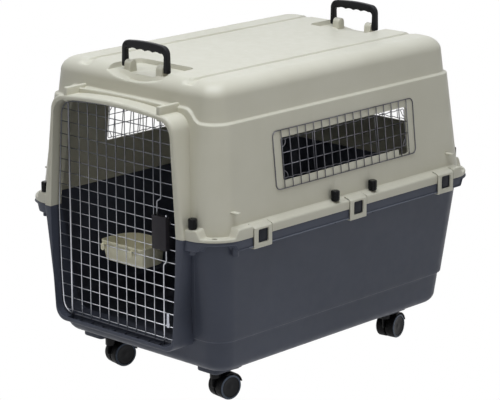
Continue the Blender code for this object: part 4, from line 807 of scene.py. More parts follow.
class Workshop:
    """Makes each finish once, coats each piece with it, and seats the piece on its body."""

    def __init__(self) -> None:
        """Start with no material made."""
        self.effects = Effects()
        self.made: dict[Finish, Material] = {}

    def coat(self, obj: Piece, finish: Finish) -> None:
        """Give a piece or a CAD node one finish all over."""
        if finish not in self.made:
            self.made[finish] = finish.value.make(self.effects)
        material = self.made[finish]
        if obj.data.materials:
            for index in range(len(obj.data.materials)):
                obj.material_slots[index].link = "OBJECT"
                obj.material_slots[index].material = material
        else:
            obj.data.materials.append(material)

    def fit(self, obj: Piece, finish: Finish, body: str,
            replaces: Sequence[str] = ()) -> None:
        """Bring a finished piece to its place, coat it and let it ride on its body.

        Args:
            obj: The piece, as it was drawn.
            finish: What it is made of.
            body: The CAD body that carries it.
            replaces: The CAD nodes that it stands for.
        """
        obj.data.transform(SHIFT)
        self.coat(obj, finish)
        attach(obj, body)
        if replaces:
            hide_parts(*replaces)
        LOG.info("%s: %d faces on %s", obj.name, len(obj.data.polygons), body)



# Shells
@dataclass
class UpperShell:
    """Beige upper moulding: walls with the crease, roof with grooves and handle pockets."""

    # Places and pitches of the roof, close together where its forms need it
    across: tuple[Pair, ...] = (
        (0.0, 0.009), (0.070, 0.0028), (0.093, 0.0013), (0.1075, 0.006), (0.176, 0.0016), (0.197, 0.006),
        (0.2212, 0.006))
    along: tuple[Pair, ...] = (
        (0.0, 0.020), (0.300, 0.006), (0.316, 0.0013), (0.331, 0.0026), (0.3872, 0.0026))
    flange_crown: float = 0.0295
    draft: float = 0.110
    crease_z: float = 0.747
    crease_in: float = 0.008
    # Height of the crease on the front, by distance from the middle
    front_crease: tuple[Pair, ...] = (
        (0.0, 0.7795), (0.190, 0.7795), (0.203, 0.7790), (0.211, 0.7775), (0.221, 0.7725), (0.230, 0.7645),
        (0.240, 0.7560), (0.250, 0.7505), (0.262, 0.7485), (0.281, 0.7478), (0.300, 0.7472), (0.40, 0.7470))
    front_y: float = -0.40
    roof_edge_z: float = 0.8065
    roof_z: float = 0.8445
    roof_round: float = 0.045
    corner_shrink: float = 0.6
    groove_x: float = 0.186
    groove_half_width: float = 0.0080
    groove_depth: float = 0.0058
    groove_end: Pair = (0.428, 0.444)
    flare: Pair = (0.392, 0.436)
    flare_width: float = 0.013
    flare_depth: float = 0.0040
    inner_groove_depth: float = 0.0065
    inner_groove_end: Pair = (0.470, 0.480)
    pocket_floor_z: float = 0.8325
    pocket_half_width: float = 0.100
    pocket_y: float = 0.3235
    pocket_corner: float = 0.022
    pocket_wall: Pair = (-0.0016, 0.0030)
    pocket_rise: float = 0.030
    scoop_z: float = 0.8165
    scoop: Pair = (0.413, 0.422)
    dish_depth: float = 0.0050
    dish_half: Pair = (0.058, 0.047)
    dish_y: float = 0.392
    softness: float = 0.0011
    window_centre_z: float = 0.632
    window_half_height: float = 0.054
    window_half_length: float = 0.244
    rear_window_half_length: float = 0.1835
    window_shift_y: float = 0.004
    notch_length: float = 0.038
    notch_drop: float = 0.016
    recess_radius: float = 0.0148
    recess: Pair = (0.0293, 0.064)

    def drawn_in(self, z: Array | float) -> Array:
        """How far the wall has drawn in at a height, by its draft."""
        return self.draft * (np.asarray(z, float) - SPLIT_Z - self.flange_crown)

    def sizes(self, drawn: Array) -> Array:
        """Half width, half length and corner radius where the wall has drawn in by a length."""
        drawn = np.asarray(drawn, float)
        shrink = np.where(drawn > 0, self.corner_shrink, 1.0)
        return np.stack([HALF_X - drawn, HALF_Y - drawn, CORNER - drawn * shrink], -1)

    def crease_height(self, x: Array, y: Array) -> Array:
        """Height of the crease: level, but on the front it sweeps up to the door surround's top."""
        out, rise = np.array(self.front_crease).T
        return np.where(y < self.front_y, np.interp(np.abs(x), out, rise), self.crease_z)

    def wall_rows(self, inset: float) -> tuple[Array, Array, Array]:
        """Rows from the split up to the roof's edge.

        Args:
            inset: How far inside the outer skin they lie.

        Returns:
            Each row's drawn-in length, share of the way from the split to the crease (above 1
            it is the share from the crease to the roof's edge, plus 1), and length above the crease.
        """
        below = np.array([0.0, 0.10, 0.5, 0.9, 0.985])
        lift = np.array([-0.0016, -0.0004, 0.0004, 0.0012, 0.0022, 0.0034, 0.0046, 0.0062])
        ledge = self.crease_in * np.array([0.0, 0.05, 0.16, 0.36, 0.62, 0.86, 0.97, 1.0])
        above = np.array([1.3, 1.7, 1.96])
        share = np.concatenate([below, np.ones(len(lift)), above])
        lifts = np.concatenate([np.zeros(len(below)), lift, np.zeros(len(above))])
        step = np.concatenate([np.zeros(len(below)), ledge, np.full(len(above), self.crease_in)])
        return step + inset, share, lifts

    def roof_rows(self, inset: float) -> tuple[Array, Array]:
        """Rows over the roof's rounding, which is a quarter of an ellipse.

        Args:
            inset: How far inside the outer skin they lie.

        Returns:
            Each row's drawn-in length and height.
        """
        edge = float(self.drawn_in(self.roof_edge_z)) + self.crease_in
        angle = np.radians(np.concatenate([[4.0], np.linspace(10.0, 90.0, 17)]))
        inward = edge + self.roof_round * (1.0 - np.cos(angle))
        height = self.roof_edge_z + (self.roof_z - self.roof_edge_z) * np.sin(angle)
        return inward + inset, height - inset * np.sin(angle)

    def roof_height(self, x: Array, y: Array, base: Array, deeper: float) -> Array:
        """Height of the roof with its grooves and pockets sunk into a base height.

        A groove is a trough with eased sides that widens and fades at its ends. A pocket is
        the softer lower envelope of the base and the pocket's own floor, which rises steeply
        outside a rounded rectangle and dips in a parabola towards the end of the crate.

        Args:
            x: Places across the roof.
            y: Places along it.
            base: Height of the roof without its forms.
            deeper: How far inside the outer skin it lies.

        Returns:
            The height at each place.
        """
        out_y = np.abs(y)
        flare = smooth(out_y, *self.flare)
        width = self.groove_half_width + self.flare_width * flare
        off = np.abs(np.abs(x) - self.groove_x)
        if deeper:
            groove = self.inner_groove_depth * (1.0 - smooth(off, width + 0.004, width + 0.012))
            groove = groove * (1.0 - smooth(out_y, *self.inner_groove_end))
        else:
            groove = (self.groove_depth + self.flare_depth * flare) * (1.0 - smooth(off, 0.50 * width, width))
            groove = groove * (1.0 - smooth(out_y, *self.groove_end))
        height = base - groove
        side = np.abs(x) - (self.pocket_half_width - self.pocket_corner)
        back = self.pocket_y + self.pocket_corner - out_y
        distance = np.hypot(np.maximum(side, 0.0), np.maximum(back, 0.0)) - self.pocket_corner
        distance = distance + np.minimum(np.maximum(side, back), 0.0)
        wall = self.pocket_rise * smooth(distance, self.pocket_wall[0] + deeper, self.pocket_wall[1] + deeper)
        share = np.clip(x / self.pocket_half_width, -1.0, 1.0)
        dip = (self.pocket_floor_z - self.scoop_z) * (1.0 - share * share) * smooth(out_y, *self.scoop)
        off_dish = np.hypot(x / self.dish_half[0], (out_y - self.dish_y) / self.dish_half[1])
        dish = self.dish_depth * (1.0 - smooth(off_dish, 0.82, 1.0))
        floor = self.pocket_floor_z - dip - dish + wall - deeper
        return 0.5 * (height + floor - np.sqrt((height - floor) ** 2 + self.softness**2))

    def skin(self, name: str, inset: float) -> Piece:
        """Closed form of the outer skin, or of the space a wall's thickness inside it."""
        fine = inset == 0.0
        every = 1 if fine else 4
        run_x, run_y = even_run(self.across)[::every], even_run(self.along)[::every]
        arc = 14 if fine else 8
        low_z = SPLIT_Z + 0.0004 if fine else SPLIT_Z - 0.010
        step, share, lifts = self.wall_rows(inset)
        middle = ring(self.sizes(step), run_x, run_y, arc)
        crease = self.crease_height(middle[..., 0], middle[..., 1])
        if not fine:
            crease = np.full_like(crease, self.crease_z - 0.012)
        share_wide, lift_wide, top_lift = share[:, None], lifts[:, None], lifts.max()
        rising = low_z + (crease - low_z) * np.minimum(share_wide, 1.0) + lift_wide
        upper = crease + top_lift + (self.roof_edge_z - crease - top_lift) * (share_wide - 1.0)
        height = np.where(share_wide > 1.0, upper, rising)
        # The draft draws each place in further as its own height grows
        drawn = step[:, None] + self.drawn_in(height)
        row_drawn = drawn.mean(1)
        rings = ring(self.sizes(row_drawn), run_x, run_y, arc)
        flat = rings + self.outward(rings) * (row_drawn[:, None] - drawn)[..., None]
        walls = np.concatenate([flat, height[..., None]], -1)
        inward, level = self.roof_rows(inset)
        sizes = self.sizes(inward)
        # Past the rounding the corners shrink to nothing
        corner = np.linspace(1.0, 0.0, 10)[1:] * sizes[-1, 2]
        inner = inward[-1] + sizes[-1, 2] - corner
        sizes = np.concatenate([sizes, np.stack([HALF_X - inner, HALF_Y - inner, corner], -1)])
        level = np.concatenate([level, np.full(len(inner), level[-1])])
        top = ring(sizes, run_x, run_y, arc)
        wide = np.broadcast_to(level[:, None], top.shape[:2])
        roof = np.concatenate([top, self.roof_height(top[..., 0], top[..., 1], wide, inset)[..., None]], -1)
        form = Form()
        start = form.sheet(np.concatenate([walls, roof]), wrap_columns=True)
        form.faces.append(tuple(range(start, start + walls.shape[1])))
        middle_x, middle_y = np.meshgrid(
            stretched(run_x, KNEE[0], sizes[-1, 0]), stretched(run_y, KNEE[1], sizes[-1, 1]))
        middle_z = self.roof_height(middle_x, middle_y, np.full(middle_x.shape, level[-1]), inset)
        form.sheet(np.stack([middle_x, middle_y, middle_z], -1))
        return form.build(name)

    @staticmethod
    def outward(rings: Array) -> Array:
        """Level direction out of each ring, square to the line through its neighbours."""
        along = np.roll(rings, -1, 1) - np.roll(rings, 1, 1)
        normal = np.stack([along[..., 1], -along[..., 0]], -1)
        return normal / np.maximum(np.linalg.norm(normal, axis=-1, keepdims=True), TINY)

    def window_frame(self, side: str) -> Matrix:
        """Level axis, slope axis and outward axis of one window's wall, at its centre."""
        inward = float(self.drawn_in(self.window_centre_z))
        way = {"right": (1.0, 0.0), "left": (-1.0, 0.0), "rear": (0.0, 1.0)}[side]
        shift = 0.0 if side == "rear" else self.window_shift_y
        place = Vector((way[0] * (HALF_X - inward), way[1] * (HALF_Y - inward) + shift, self.window_centre_z))
        outward = Vector((*way, 0.0))
        slope = (Vector(UP) - outward * self.draft).normalized()
        level = slope.cross(outward).normalized()
        normal = level.cross(slope).normalized()
        return Matrix.Translation(place) @ Matrix((level, slope, normal)).transposed().to_4x4()

    def window_length(self, side: str) -> float:
        """Half length of one window."""
        return self.rear_window_half_length if side == "rear" else self.window_half_length

    def window_cutter(self, side: str) -> Piece:
        """Prism of one window with its notch, square to its wall."""
        half, high = self.window_length(side), self.window_half_height
        way = -1.0 if side == "left" else 1.0
        step_x, low = half - self.notch_length, -high - self.notch_drop
        corners = [(-half, -high, 0.006), (step_x, -high, 0.003), (step_x, low, 0.005), (half, low, 0.005),
                   (half, high, 0.006), (-half, high, 0.006)]
        outline = fillet([(way * a, b, r) for a, b, r in corners], 5)
        form = Form()
        form.loft(np.stack([at_height(outline, z) for z in (-0.02, 0.02)]))
        return form.moved(self.window_frame(side)).build("window_cutter_" + side)

    def build(self) -> Piece:
        """Walls and roof as one hollow form with its door opening and windows cut through."""
        shell = self.skin("upper_shell_moulding", 0.0)
        cutters = [self.skin("upper_inside", WALL), DoorSurround().cutter()]
        cutters += [self.window_cutter(side) for side in ("right", "left", "rear")]
        recesses = Form()
        for place in knob_places().values():
            low, high = (SPLIT_Z + z for z in self.recess)
            slab(recesses, circle(place, self.recess_radius, 32), low, high, 0.0040, Plane.XY)
        cutters.append(recesses.build("knob_recesses"))
        carve(shell, cutters)
        return shell


@dataclass
class LowerShell:
    """Dark grey lower moulding: rounded bottom, step, drafted walls and floor."""

    bottom_z: float = 0.105
    bottom_round: float = 0.030
    step_z: float = 0.1945
    step_in: float = 0.006
    draft: float = 0.090
    end_draft: float = 0.150
    flange_height: float = 0.026
    ease: Pair = (-0.004, 0.001)

    def drawn_in(self, z: Array | float) -> Array:
        """How far the wall has drawn in at a height."""
        return self.draft * (SPLIT_Z - np.asarray(z, float))

    def end_drawn_in(self, z: Array) -> Array:
        """How much further the ends have drawn in at a height than the sides."""
        return (self.end_draft - self.draft) * np.maximum(0.0, SPLIT_Z - self.flange_height - z)

    def rings(self, drawn: Array, z: Array, arc: int) -> Array:
        """Rings at heights, whose ends draw in more than their sides."""
        shrink = np.where(drawn > 0, 0.6, 1.0)
        sizes = np.stack([HALF_X - drawn, HALF_Y - drawn - self.end_drawn_in(z), CORNER - drawn * shrink], -1)
        run_x = np.concatenate([[-0.24], np.linspace(-KNEE[0], KNEE[0], 9), [0.24]])
        run_y = np.concatenate([[-0.40], np.linspace(-KNEE[1], KNEE[1], 13), [0.40]])
        flat = ring(sizes, run_x, run_y, arc)
        return np.concatenate([flat, np.broadcast_to(z[:, None, None], flat.shape[:2] + (1,))], -1)

    def skin(self, name: str, inset: float) -> Piece:
        """Closed form of the outer skin, or of the space a wall's thickness inside it."""
        round_in = self.bottom_round - inset
        foot = self.bottom_z + self.bottom_round
        angle = quarter(8)
        drawn = float(self.drawn_in(foot)) + self.step_in + round_in * (1.0 - np.sin(angle)) + inset
        z = foot - round_in * np.cos(angle)
        lift = np.array([-0.010, -0.0032, -0.0022, -0.0010, 0.0004, 0.0016, 0.0026, 0.010])
        ease = np.array([1.0, 1.0, 0.93, 0.70, 0.32, 0.08, 0.0, 0.0])
        step_z = self.step_z - 0.002 + lift
        drawn = np.concatenate([drawn, self.drawn_in(step_z) + self.step_in * ease + inset])
        z = np.concatenate([z, step_z])
        top = np.array([0.30, 0.40, SPLIT_Z - 0.0004 if inset == 0.0 else SPLIT_Z + 0.012])
        drawn = np.concatenate([drawn, self.drawn_in(top) + inset])
        z = np.concatenate([z, top])
        form = Form()
        form.loft(self.rings(drawn, z, 18 if inset == 0.0 else 10))
        return form.build(name)

    def build(self) -> Piece:
        """Walls and floor as one open-topped form with the door opening cut through."""
        shell = self.skin("lower_shell_moulding", 0.0)
        carve(shell, [self.skin("lower_inside", WALL), DoorSurround().cutter()])
        return shell


@dataclass
class Flange:
    """Rim round one shell, high along its sides and thin at its four corners."""

    upper: bool
    reach: float = 0.0245
    crown: float = 0.0295
    lower_crown: float = 0.026
    face: float = 0.0200
    chamfer: float = 0.0040
    corner_plate: float = 0.0090
    dish: float = 0.0016
    corner: Pair = (0.288, 0.440)
    corner_ease: Pair = (-0.0060, 0.0080)
    block_length: float = 0.036
    front_block_length: float = 0.0540
    block_height: float = 0.0290
    knob_pitch: float = 0.147
    middle_y: float = 0.006
    landing: Pair = (0.0115, 0.0165)
    landing_out: Pair = (0.0070, 0.0190)
    gap_half: float = 0.2342
    base: float = 0.0004
    bead: float = 0.0020
    tie: Pair = (0.3170, 0.4830)
    tie_half: Pair = (0.0066, 0.0060)
    slot_width: float = 0.0060
    # Section of the slot behind a side clip: place across, and height above the split
    slot_section: tuple[Pair, ...] = (
        (0.3355, 0.0215), (0.3460, 0.0170), (0.3475, 0.0150), (0.3475, 0.0012), (0.3640, 0.0012),
        (0.3640, 0.0400), (0.3355, 0.0400))
    bead_path: Array | None = None

    def painted_highlight_bead(self) -> Piece:
        """Bead under both long sides of the lower rim, on the path that build found, in a paler plastic that
        is a painted highlight.
        """
        form = Form()
        along = np.abs(self.bead_path[:, 1]) < self.corner[1] - self.block_length
        for way in WAYS:
            path = self.bead_path[along & (way * self.bead_path[:, 0] > HALF_X)]
            form.rod(path, self.bead * 0.85, UP)
        return form.build("lower_flange_bead_highlight")

    def height(self, x: Array, y: Array, out: Array) -> Array:
        """Height of the rim's free face from the split, at a distance out from the wall.

        Along the sides it slopes down outwards; beside each corner it is a level block; at
        the corner itself it is a thin plate with a shallow dish.

        Args:
            x: Places across the crate.
            y: Places along it.
            out: Their distance out from the wall.

        Returns:
            The height at each place.
        """
        far_x, far_y = np.abs(x), np.abs(y)
        on_end = far_y > HALF_Y - 0.001
        top = np.full_like(out, self.lower_crown)
        if self.upper:
            slope = self.crown - out / (self.reach - self.chamfer) * (self.crown - self.face - self.chamfer)
            start_x = self.corner[0] - self.block_length
            start_y = self.corner[1] - np.where(y < 0.0, self.front_block_length, self.block_length)
            ease = np.where(y < 0.0, 0.0006, 0.004)
            block_side = smooth(far_y, start_y - ease, start_y + ease) * ~on_end
            block_end = smooth(far_x, start_x - 0.006, start_x + 0.006) * on_end
            top = slope + (self.block_height - slope) * np.maximum(block_side, block_end)
            off = np.abs(np.abs(y - self.middle_y) - self.knob_pitch / 2.0)
            landing = (1.0 - smooth(off, *self.landing)) * (1.0 - smooth(out, *self.landing_out))
            top = top + (self.block_height - top) * landing * ~on_end * (out > 0.001)
        low, high = self.corner_ease
        corner = smooth(far_x, self.corner[0] + low, self.corner[0] + high)
        corner = corner * smooth(far_y, self.corner[1] + low, self.corner[1] + high)
        middle = np.sin(np.clip(out / self.reach, 0.0, 1.0) * np.pi)
        plate = self.corner_plate - self.dish * smooth(middle, 0.35, 0.85)
        return top + (plate - top) * corner

    def band(self) -> tuple[Array, Array, Array]:
        """The rim's skin all round, with the doorway still closed.

        Returns:
            Its rows, the order of the places that stay outside the doorway, and the way out
            of the row that the bead follows.
        """
        reach = self.reach if self.upper else self.reach - 0.0015
        run_x = even_run([(0.0, 0.012), (self.gap_half, 0.0015), (0.256, 0.0015)])
        run_y = even_run([(0.0, 0.004), (0.380, 0.0008), (0.410, 0.0015), (0.422, 0.0015)])
        edge = 0.0042 if self.upper else 0.0020
        angle = quarter(5)[1:]
        out = np.concatenate([
            [-0.003, 0.0, 0.0012, 0.003, 0.006], np.linspace(0.009, reach - edge, 6),
            reach - edge + edge * np.sin(angle), [reach, reach, -0.003]])
        drop = np.concatenate([np.zeros(11), edge * (1.0 - np.cos(angle)), np.zeros(3)])
        lift = np.concatenate([[0.0032, 0.0022, 0.0009, 0.0002, 0.0], np.zeros(len(out) - 5)])
        sizes = np.stack([HALF_X + out, HALF_Y + out, CORNER + out], -1)
        flat = ring(sizes, run_x, run_y, 96, (0.25, 0.41))
        wide = np.clip(np.broadcast_to(out[:, None], flat.shape[:2]), 0.0, reach)
        height = self.height(flat[..., 0], flat[..., 1], wide) - drop[:, None] + lift[:, None]
        height[-3] = self.base + 0.0012
        height[-2:] = self.base
        flat[-2] -= UpperShell.outward(flat[-2:-1])[0] * 0.0008
        way = 1.0 if self.upper else -1.0
        band = np.concatenate([flat, (SPLIT_Z + way * height)[..., None]], -1)
        keep = ~((np.abs(band[5, :, 0]) < self.gap_half - 0.0001) & (band[5, :, 1] < -0.4))
        first = int(np.flatnonzero(~keep)[-1]) + 1
        order = np.roll(np.arange(band.shape[1]), -first)
        order = order[keep[order]]
        return band, order, UpperShell.outward(flat[-4:-3])[0][order]

    def build(self, name: str) -> Piece:
        """The rim as a closed band that ends inside the door surround."""
        band, order, outward = self.band()
        form = Form()
        form.loft(band[:, order].transpose(1, 0, 2))
        if not self.upper:
            path = band[-4, order].copy()
            share = 0.7 - 1.2 * smooth(np.abs(path[:, 1]), HALF_Y, HALF_Y + 0.016)
            path[:, :2] += outward * self.bead * share[:, None]
            path[:, 2] = np.minimum(path[:, 2] + 0.0004, SPLIT_Z - 0.004)
            form.rod(path, self.bead * 0.8, UP)
            self.bead_path = path
        rim = form.build(name, 50.0)
        holes = Form()
        for ways in QUARTERS:
            hole = circle((0.0, 0.0), 1.0) * self.tie_half + np.multiply(ways, self.tie)
            slab(holes, hole, SPLIT_Z - 0.05, SPLIT_Z + 0.05, 0.0001, Plane.XY, 1)
        if self.upper:
            self.add_slots(holes)
        carve(rim, [holes.build("tie_holes")], 50.0)
        return rim

    def add_slots(self, cutter: Form) -> None:
        """Add the narrow slot behind each side clip to a cutter."""
        for way, middle in product(WAYS, clip_places()):
            section = (np.array(self.slot_section) + (0.0, SPLIT_Z)) * (way, 1.0)
            start = middle + SideClip.length / 2.0 + 0.0001
            slab(cutter, section, start, start + self.slot_width, 0.0001, Plane.XZ, 1)


@dataclass
class DoorSurround:
    """Frame round the doorway, half on each shell, with the bars and the rail on its top."""

    front_y: float = -0.5284
    opening_back_y: float = -0.400
    outer_split: float = 0.2515
    outer_top: tuple[float, ...] = (0.2150, 0.762, 0.7785, 0.030)
    outer_low: tuple[float, ...] = (0.2195, 0.271, 0.212, 0.168, 0.030)
    inner_split: float = 0.2262
    rod_hole_depth: float = 0.0085
    inner_top: tuple[float, ...] = (0.2062, 0.752, 0.766, 0.034)
    inner_low: tuple[float, ...] = (0.2205, 0.310, 0.211, 0.181, 0.034)
    outer_round: float = 0.0075
    inner_round: float = 0.0022
    bar_x: float = 0.166
    bar_width: float = 0.0125
    bar_setback: float = 0.004
    bar_back_y: float = -0.445
    bar_top: float = 0.7890
    rail_y: float = -0.4824
    rail_half: Pair = (0.00475, 0.009)
    rail_top: float = 0.786
    rail_drop: float = 0.004
    lip: float = 0.0040
    trough_half: float = 0.176
    trough_z: float = 0.1710
    trough_back_y: float = -0.4995
    rib_half: float = 0.0011
    rib_height: float = 0.0052
    bead_out: float = 0.0040
    bead_radius: float = 0.0011
    bead_z: Pair = (0.205, 0.444)
    seat: float = 0.0006

    def upper_line(self, split: float, top: Sequence[float]) -> Array:
        """Half outline above the split, from the split up and over to the middle.

        Args:
            split: Half width at the split.
            top: Half width and height at the shoulder, height of the crown, corner radius.

        Returns:
            Places (x, z). The corner is a quarter of an ellipse as a weighted quadratic
            curve, and the arch's height falls with the square of x.
        """
        half, shoulder, crown, radius = top
        foot, peak = np.array([split, SPLIT_Z]), np.array([half, shoulder])
        along = (peak - foot) / np.linalg.norm(peak - foot)
        first = peak - along * radius
        end_x = half - radius
        end_z = crown - (crown - shoulder) * (end_x / half) ** 2
        tangent = -2.0 * (crown - shoulder) * end_x / half**2
        last = np.array([end_x, end_z])
        # Where the side's line meets the arch's tangent
        reach = (end_z + tangent * (peak[0] - end_x) - first[1]) / along[1]
        corner = first + along * reach
        t = np.linspace(0.0, 1.0, 11)[:, None]
        weight = math.sqrt(0.5)
        curve = (1 - t) ** 2 * first + 2 * weight * t * (1 - t) * corner + t**2 * last
        curve /= (1 - t) ** 2 + 2 * weight * t * (1 - t) + t**2
        x = np.linspace(end_x, 0.0, 13)[1:]
        arch = np.column_stack([x, crown - (crown - shoulder) * (x / half) ** 2])
        side = np.linspace(foot, first, 8)[:-1]
        return np.concatenate([side, curve, arch])

    def lower_line(self, split: float, low: Sequence[float]) -> Array:
        """Half outline below the split, from the split down and under to the middle.

        Args:
            split: Half width at the split.
            low: Half width and height at the knee, half width and height of the sill, corner radius.

        Returns:
            Places (x, z).
        """
        knee_half, knee_z, half, bottom_z, radius = low
        corners = [(split, SPLIT_Z, 0.0), (knee_half, knee_z, 0.120), (half, bottom_z, radius)]
        return fillet([*corners, (0.0, bottom_z, 0.0)], 10, closed=False)

    def lines(self, draw: float, split: float, top: Sequence[float],
              low: Sequence[float]) -> tuple[Array, Array]:
        """Upper and lower half outlines of a doorway, drawn in by a length.

        Args:
            draw: The length.
            split: Half width at the split.
            top: What upper_line takes.
            low: What lower_line takes.

        Returns:
            Both outlines.
        """
        top = np.array(top) - draw * np.array([1.0, 1.0, 1.0, 0.0])
        low = np.array(low) - draw * np.array([1.0, 0.0, 1.0, -1.0, 0.0])
        return self.upper_line(split - draw, top), self.lower_line(split - draw, low)

    @staticmethod
    def closed(upper: Array, lower: Array) -> Array:
        """Join two half outlines and their mirror images into one closed outline."""
        right = np.concatenate([lower[:0:-1], upper])
        return np.concatenate([right, right[-2:0:-1] * MIRROR_X])

    @staticmethod
    def whole(half: Array) -> Array:
        """Complete a half outline that ends in the middle with its mirror image."""
        return np.concatenate([half, half[-2::-1] * MIRROR_X])

    def back(self, z: Array) -> Array:
        """Depth of the surround's back edge, just behind the wall's inner face at each height."""
        upper, lower = UpperShell(), LowerShell()
        above = upper.draft * np.maximum(z - SPLIT_Z - upper.flange_crown, 0.0)
        below = lower.draft * np.maximum(SPLIT_Z - z, 0.0) + lower.end_drawn_in(z)
        below = below + lower.step_in * (1.0 - smooth(z, *(lower.step_z + ease for ease in lower.ease)))
        return -HALF_Y + above + below + WALL + self.seat

    def frame(self, name: str, outer: Array, inner: Array, lift: float) -> Piece:
        """One half of the surround, carried along its two outlines.

        Args:
            name: The piece's name.
            outer: Whole outer outline.
            inner: Whole outline of the opening, with a place for each one of outer.
            lift: How far the piece stands off the split.

        Returns:
            The mesh object.
        """
        across = inner - outer
        width = np.linalg.norm(across, axis=1)[:, None]
        large = np.minimum(self.outer_round, 0.58 * width)
        small = np.minimum(self.inner_round, 0.2 * width)
        cosine, sine = np.cos(quarter(6))[None, :], np.sin(quarter(6))[None, :]
        back, front = self.back(outer[:, 1:]), self.front_y
        share = np.concatenate([
            np.zeros_like(width), large * (1.0 - cosine), width - small + small * sine, width], 1)
        depth = np.concatenate([back, front + large * (1.0 - sine), front + small * (1.0 - cosine), back], 1)
        flat = outer[:, None] + (across / width)[:, None] * share[..., None]
        form = Form()
        form.loft(np.stack([flat[..., 0], depth, flat[..., 1] + lift], -1))
        return form.build(name)

    def cutter(self) -> Piece:
        """Prism that opens a shell's wall a little wider than the doorway, inside the surround."""
        outline = self.closed(*self.lines(-0.0025, self.inner_split, self.inner_top, self.inner_low))
        form = Form()
        form.loft(np.stack([at_depth(outline, y) for y in (self.front_y - 0.05, self.opening_back_y)]))
        return form.build("doorway")

    def top_trim(self) -> Piece:
        """The two upright bars and the rail between them, on the surround's top."""
        form = Form()
        half = self.bar_width / 2.0
        for way in WAYS:
            low = (way * self.bar_x - half, self.front_y + self.bar_setback, 0.752)
            form.block(low, (way * self.bar_x + half, self.bar_back_y, self.bar_top), 0.0024)
        x = np.linspace(-self.bar_x, self.bar_x, 33)
        half_y, half_z = self.rail_half
        z = self.rail_top - self.rail_drop * (x / self.bar_x) ** 2 - half_z
        path = np.column_stack([x, np.full(len(x), self.rail_y + half_y), z])
        section = fillet([(-half_y, -half_z, 0.001), (half_y, -half_z, 0.001), (half_y, half_z, 0.0038),
                          (-half_y, half_z, 0.0038)], 5)
        form.sweep(path, section[:, ::-1], BACK)
        return form.build("door_surround_trim")

    def sill_trough(self) -> Piece:
        """Cutter of the trough behind the sill's front lip."""
        form = Form()
        low = (-self.trough_half, self.front_y + self.lip, self.trough_z)
        form.block(low, (self.trough_half, self.trough_back_y, 0.230), 0.003)
        return form.build("sill_trough")

    def sill_ribs(self) -> Piece:
        """Short ribs across the trough, and the beads that run down the wall beside the surround."""
        form = Form()
        for x in np.linspace(-self.trough_half + 0.030, self.trough_half - 0.030, 8).tolist():
            low = (x - self.rib_half, self.front_y + self.lip - 0.001, self.trough_z - 0.001)
            high = (x + self.rib_half, self.trough_back_y + 0.001, self.trough_z + self.rib_height)
            form.block(low, high, 0.0006, 2)
        z = np.linspace(*self.bead_z, 14)
        y = self.back(z) - WALL - self.seat
        x = np.interp(z, self.bead_z, (self.outer_low[0], self.outer_split)) + self.bead_out
        for way in WAYS:
            form.rod(np.column_stack([way * x, y, z]), self.bead_radius, BACK)
        return form.build("sill_ribs")

    def build(self, workshop: Workshop) -> None:
        """Make both halves and the trim, and fit them."""
        outer = self.lines(0.0, self.outer_split, self.outer_top, self.outer_low)
        inner = self.lines(0.0, self.inner_split, self.inner_top, self.inner_low)
        upper = self.frame("door_surround_upper", self.whole(outer[0]), self.whole(inner[0]), 0.0003)
        door, hole = Door(), Form()
        tip = door.lintel(door.upper_rod_x)
        outline = circle((door.upper_rod_x, door.rod_y), door.rod_radius + 0.0008, 16)
        slab(hole, outline, tip - 0.004, tip + self.rod_hole_depth, 0.0001, Plane.XY, 1)
        carve(upper, [hole.build("lintel_hole")])
        lower = self.frame("door_surround_lower", self.whole(outer[1]), self.whole(inner[1]), 0.0)
        carve(lower, [self.sill_trough()])
        join(lower, [self.sill_ribs()])
        workshop.fit(upper, Finish.UPPER, "crate")
        workshop.fit(self.top_trim(), Finish.UPPER, "crate")
        workshop.fit(lower, Finish.LOWER, "crate")


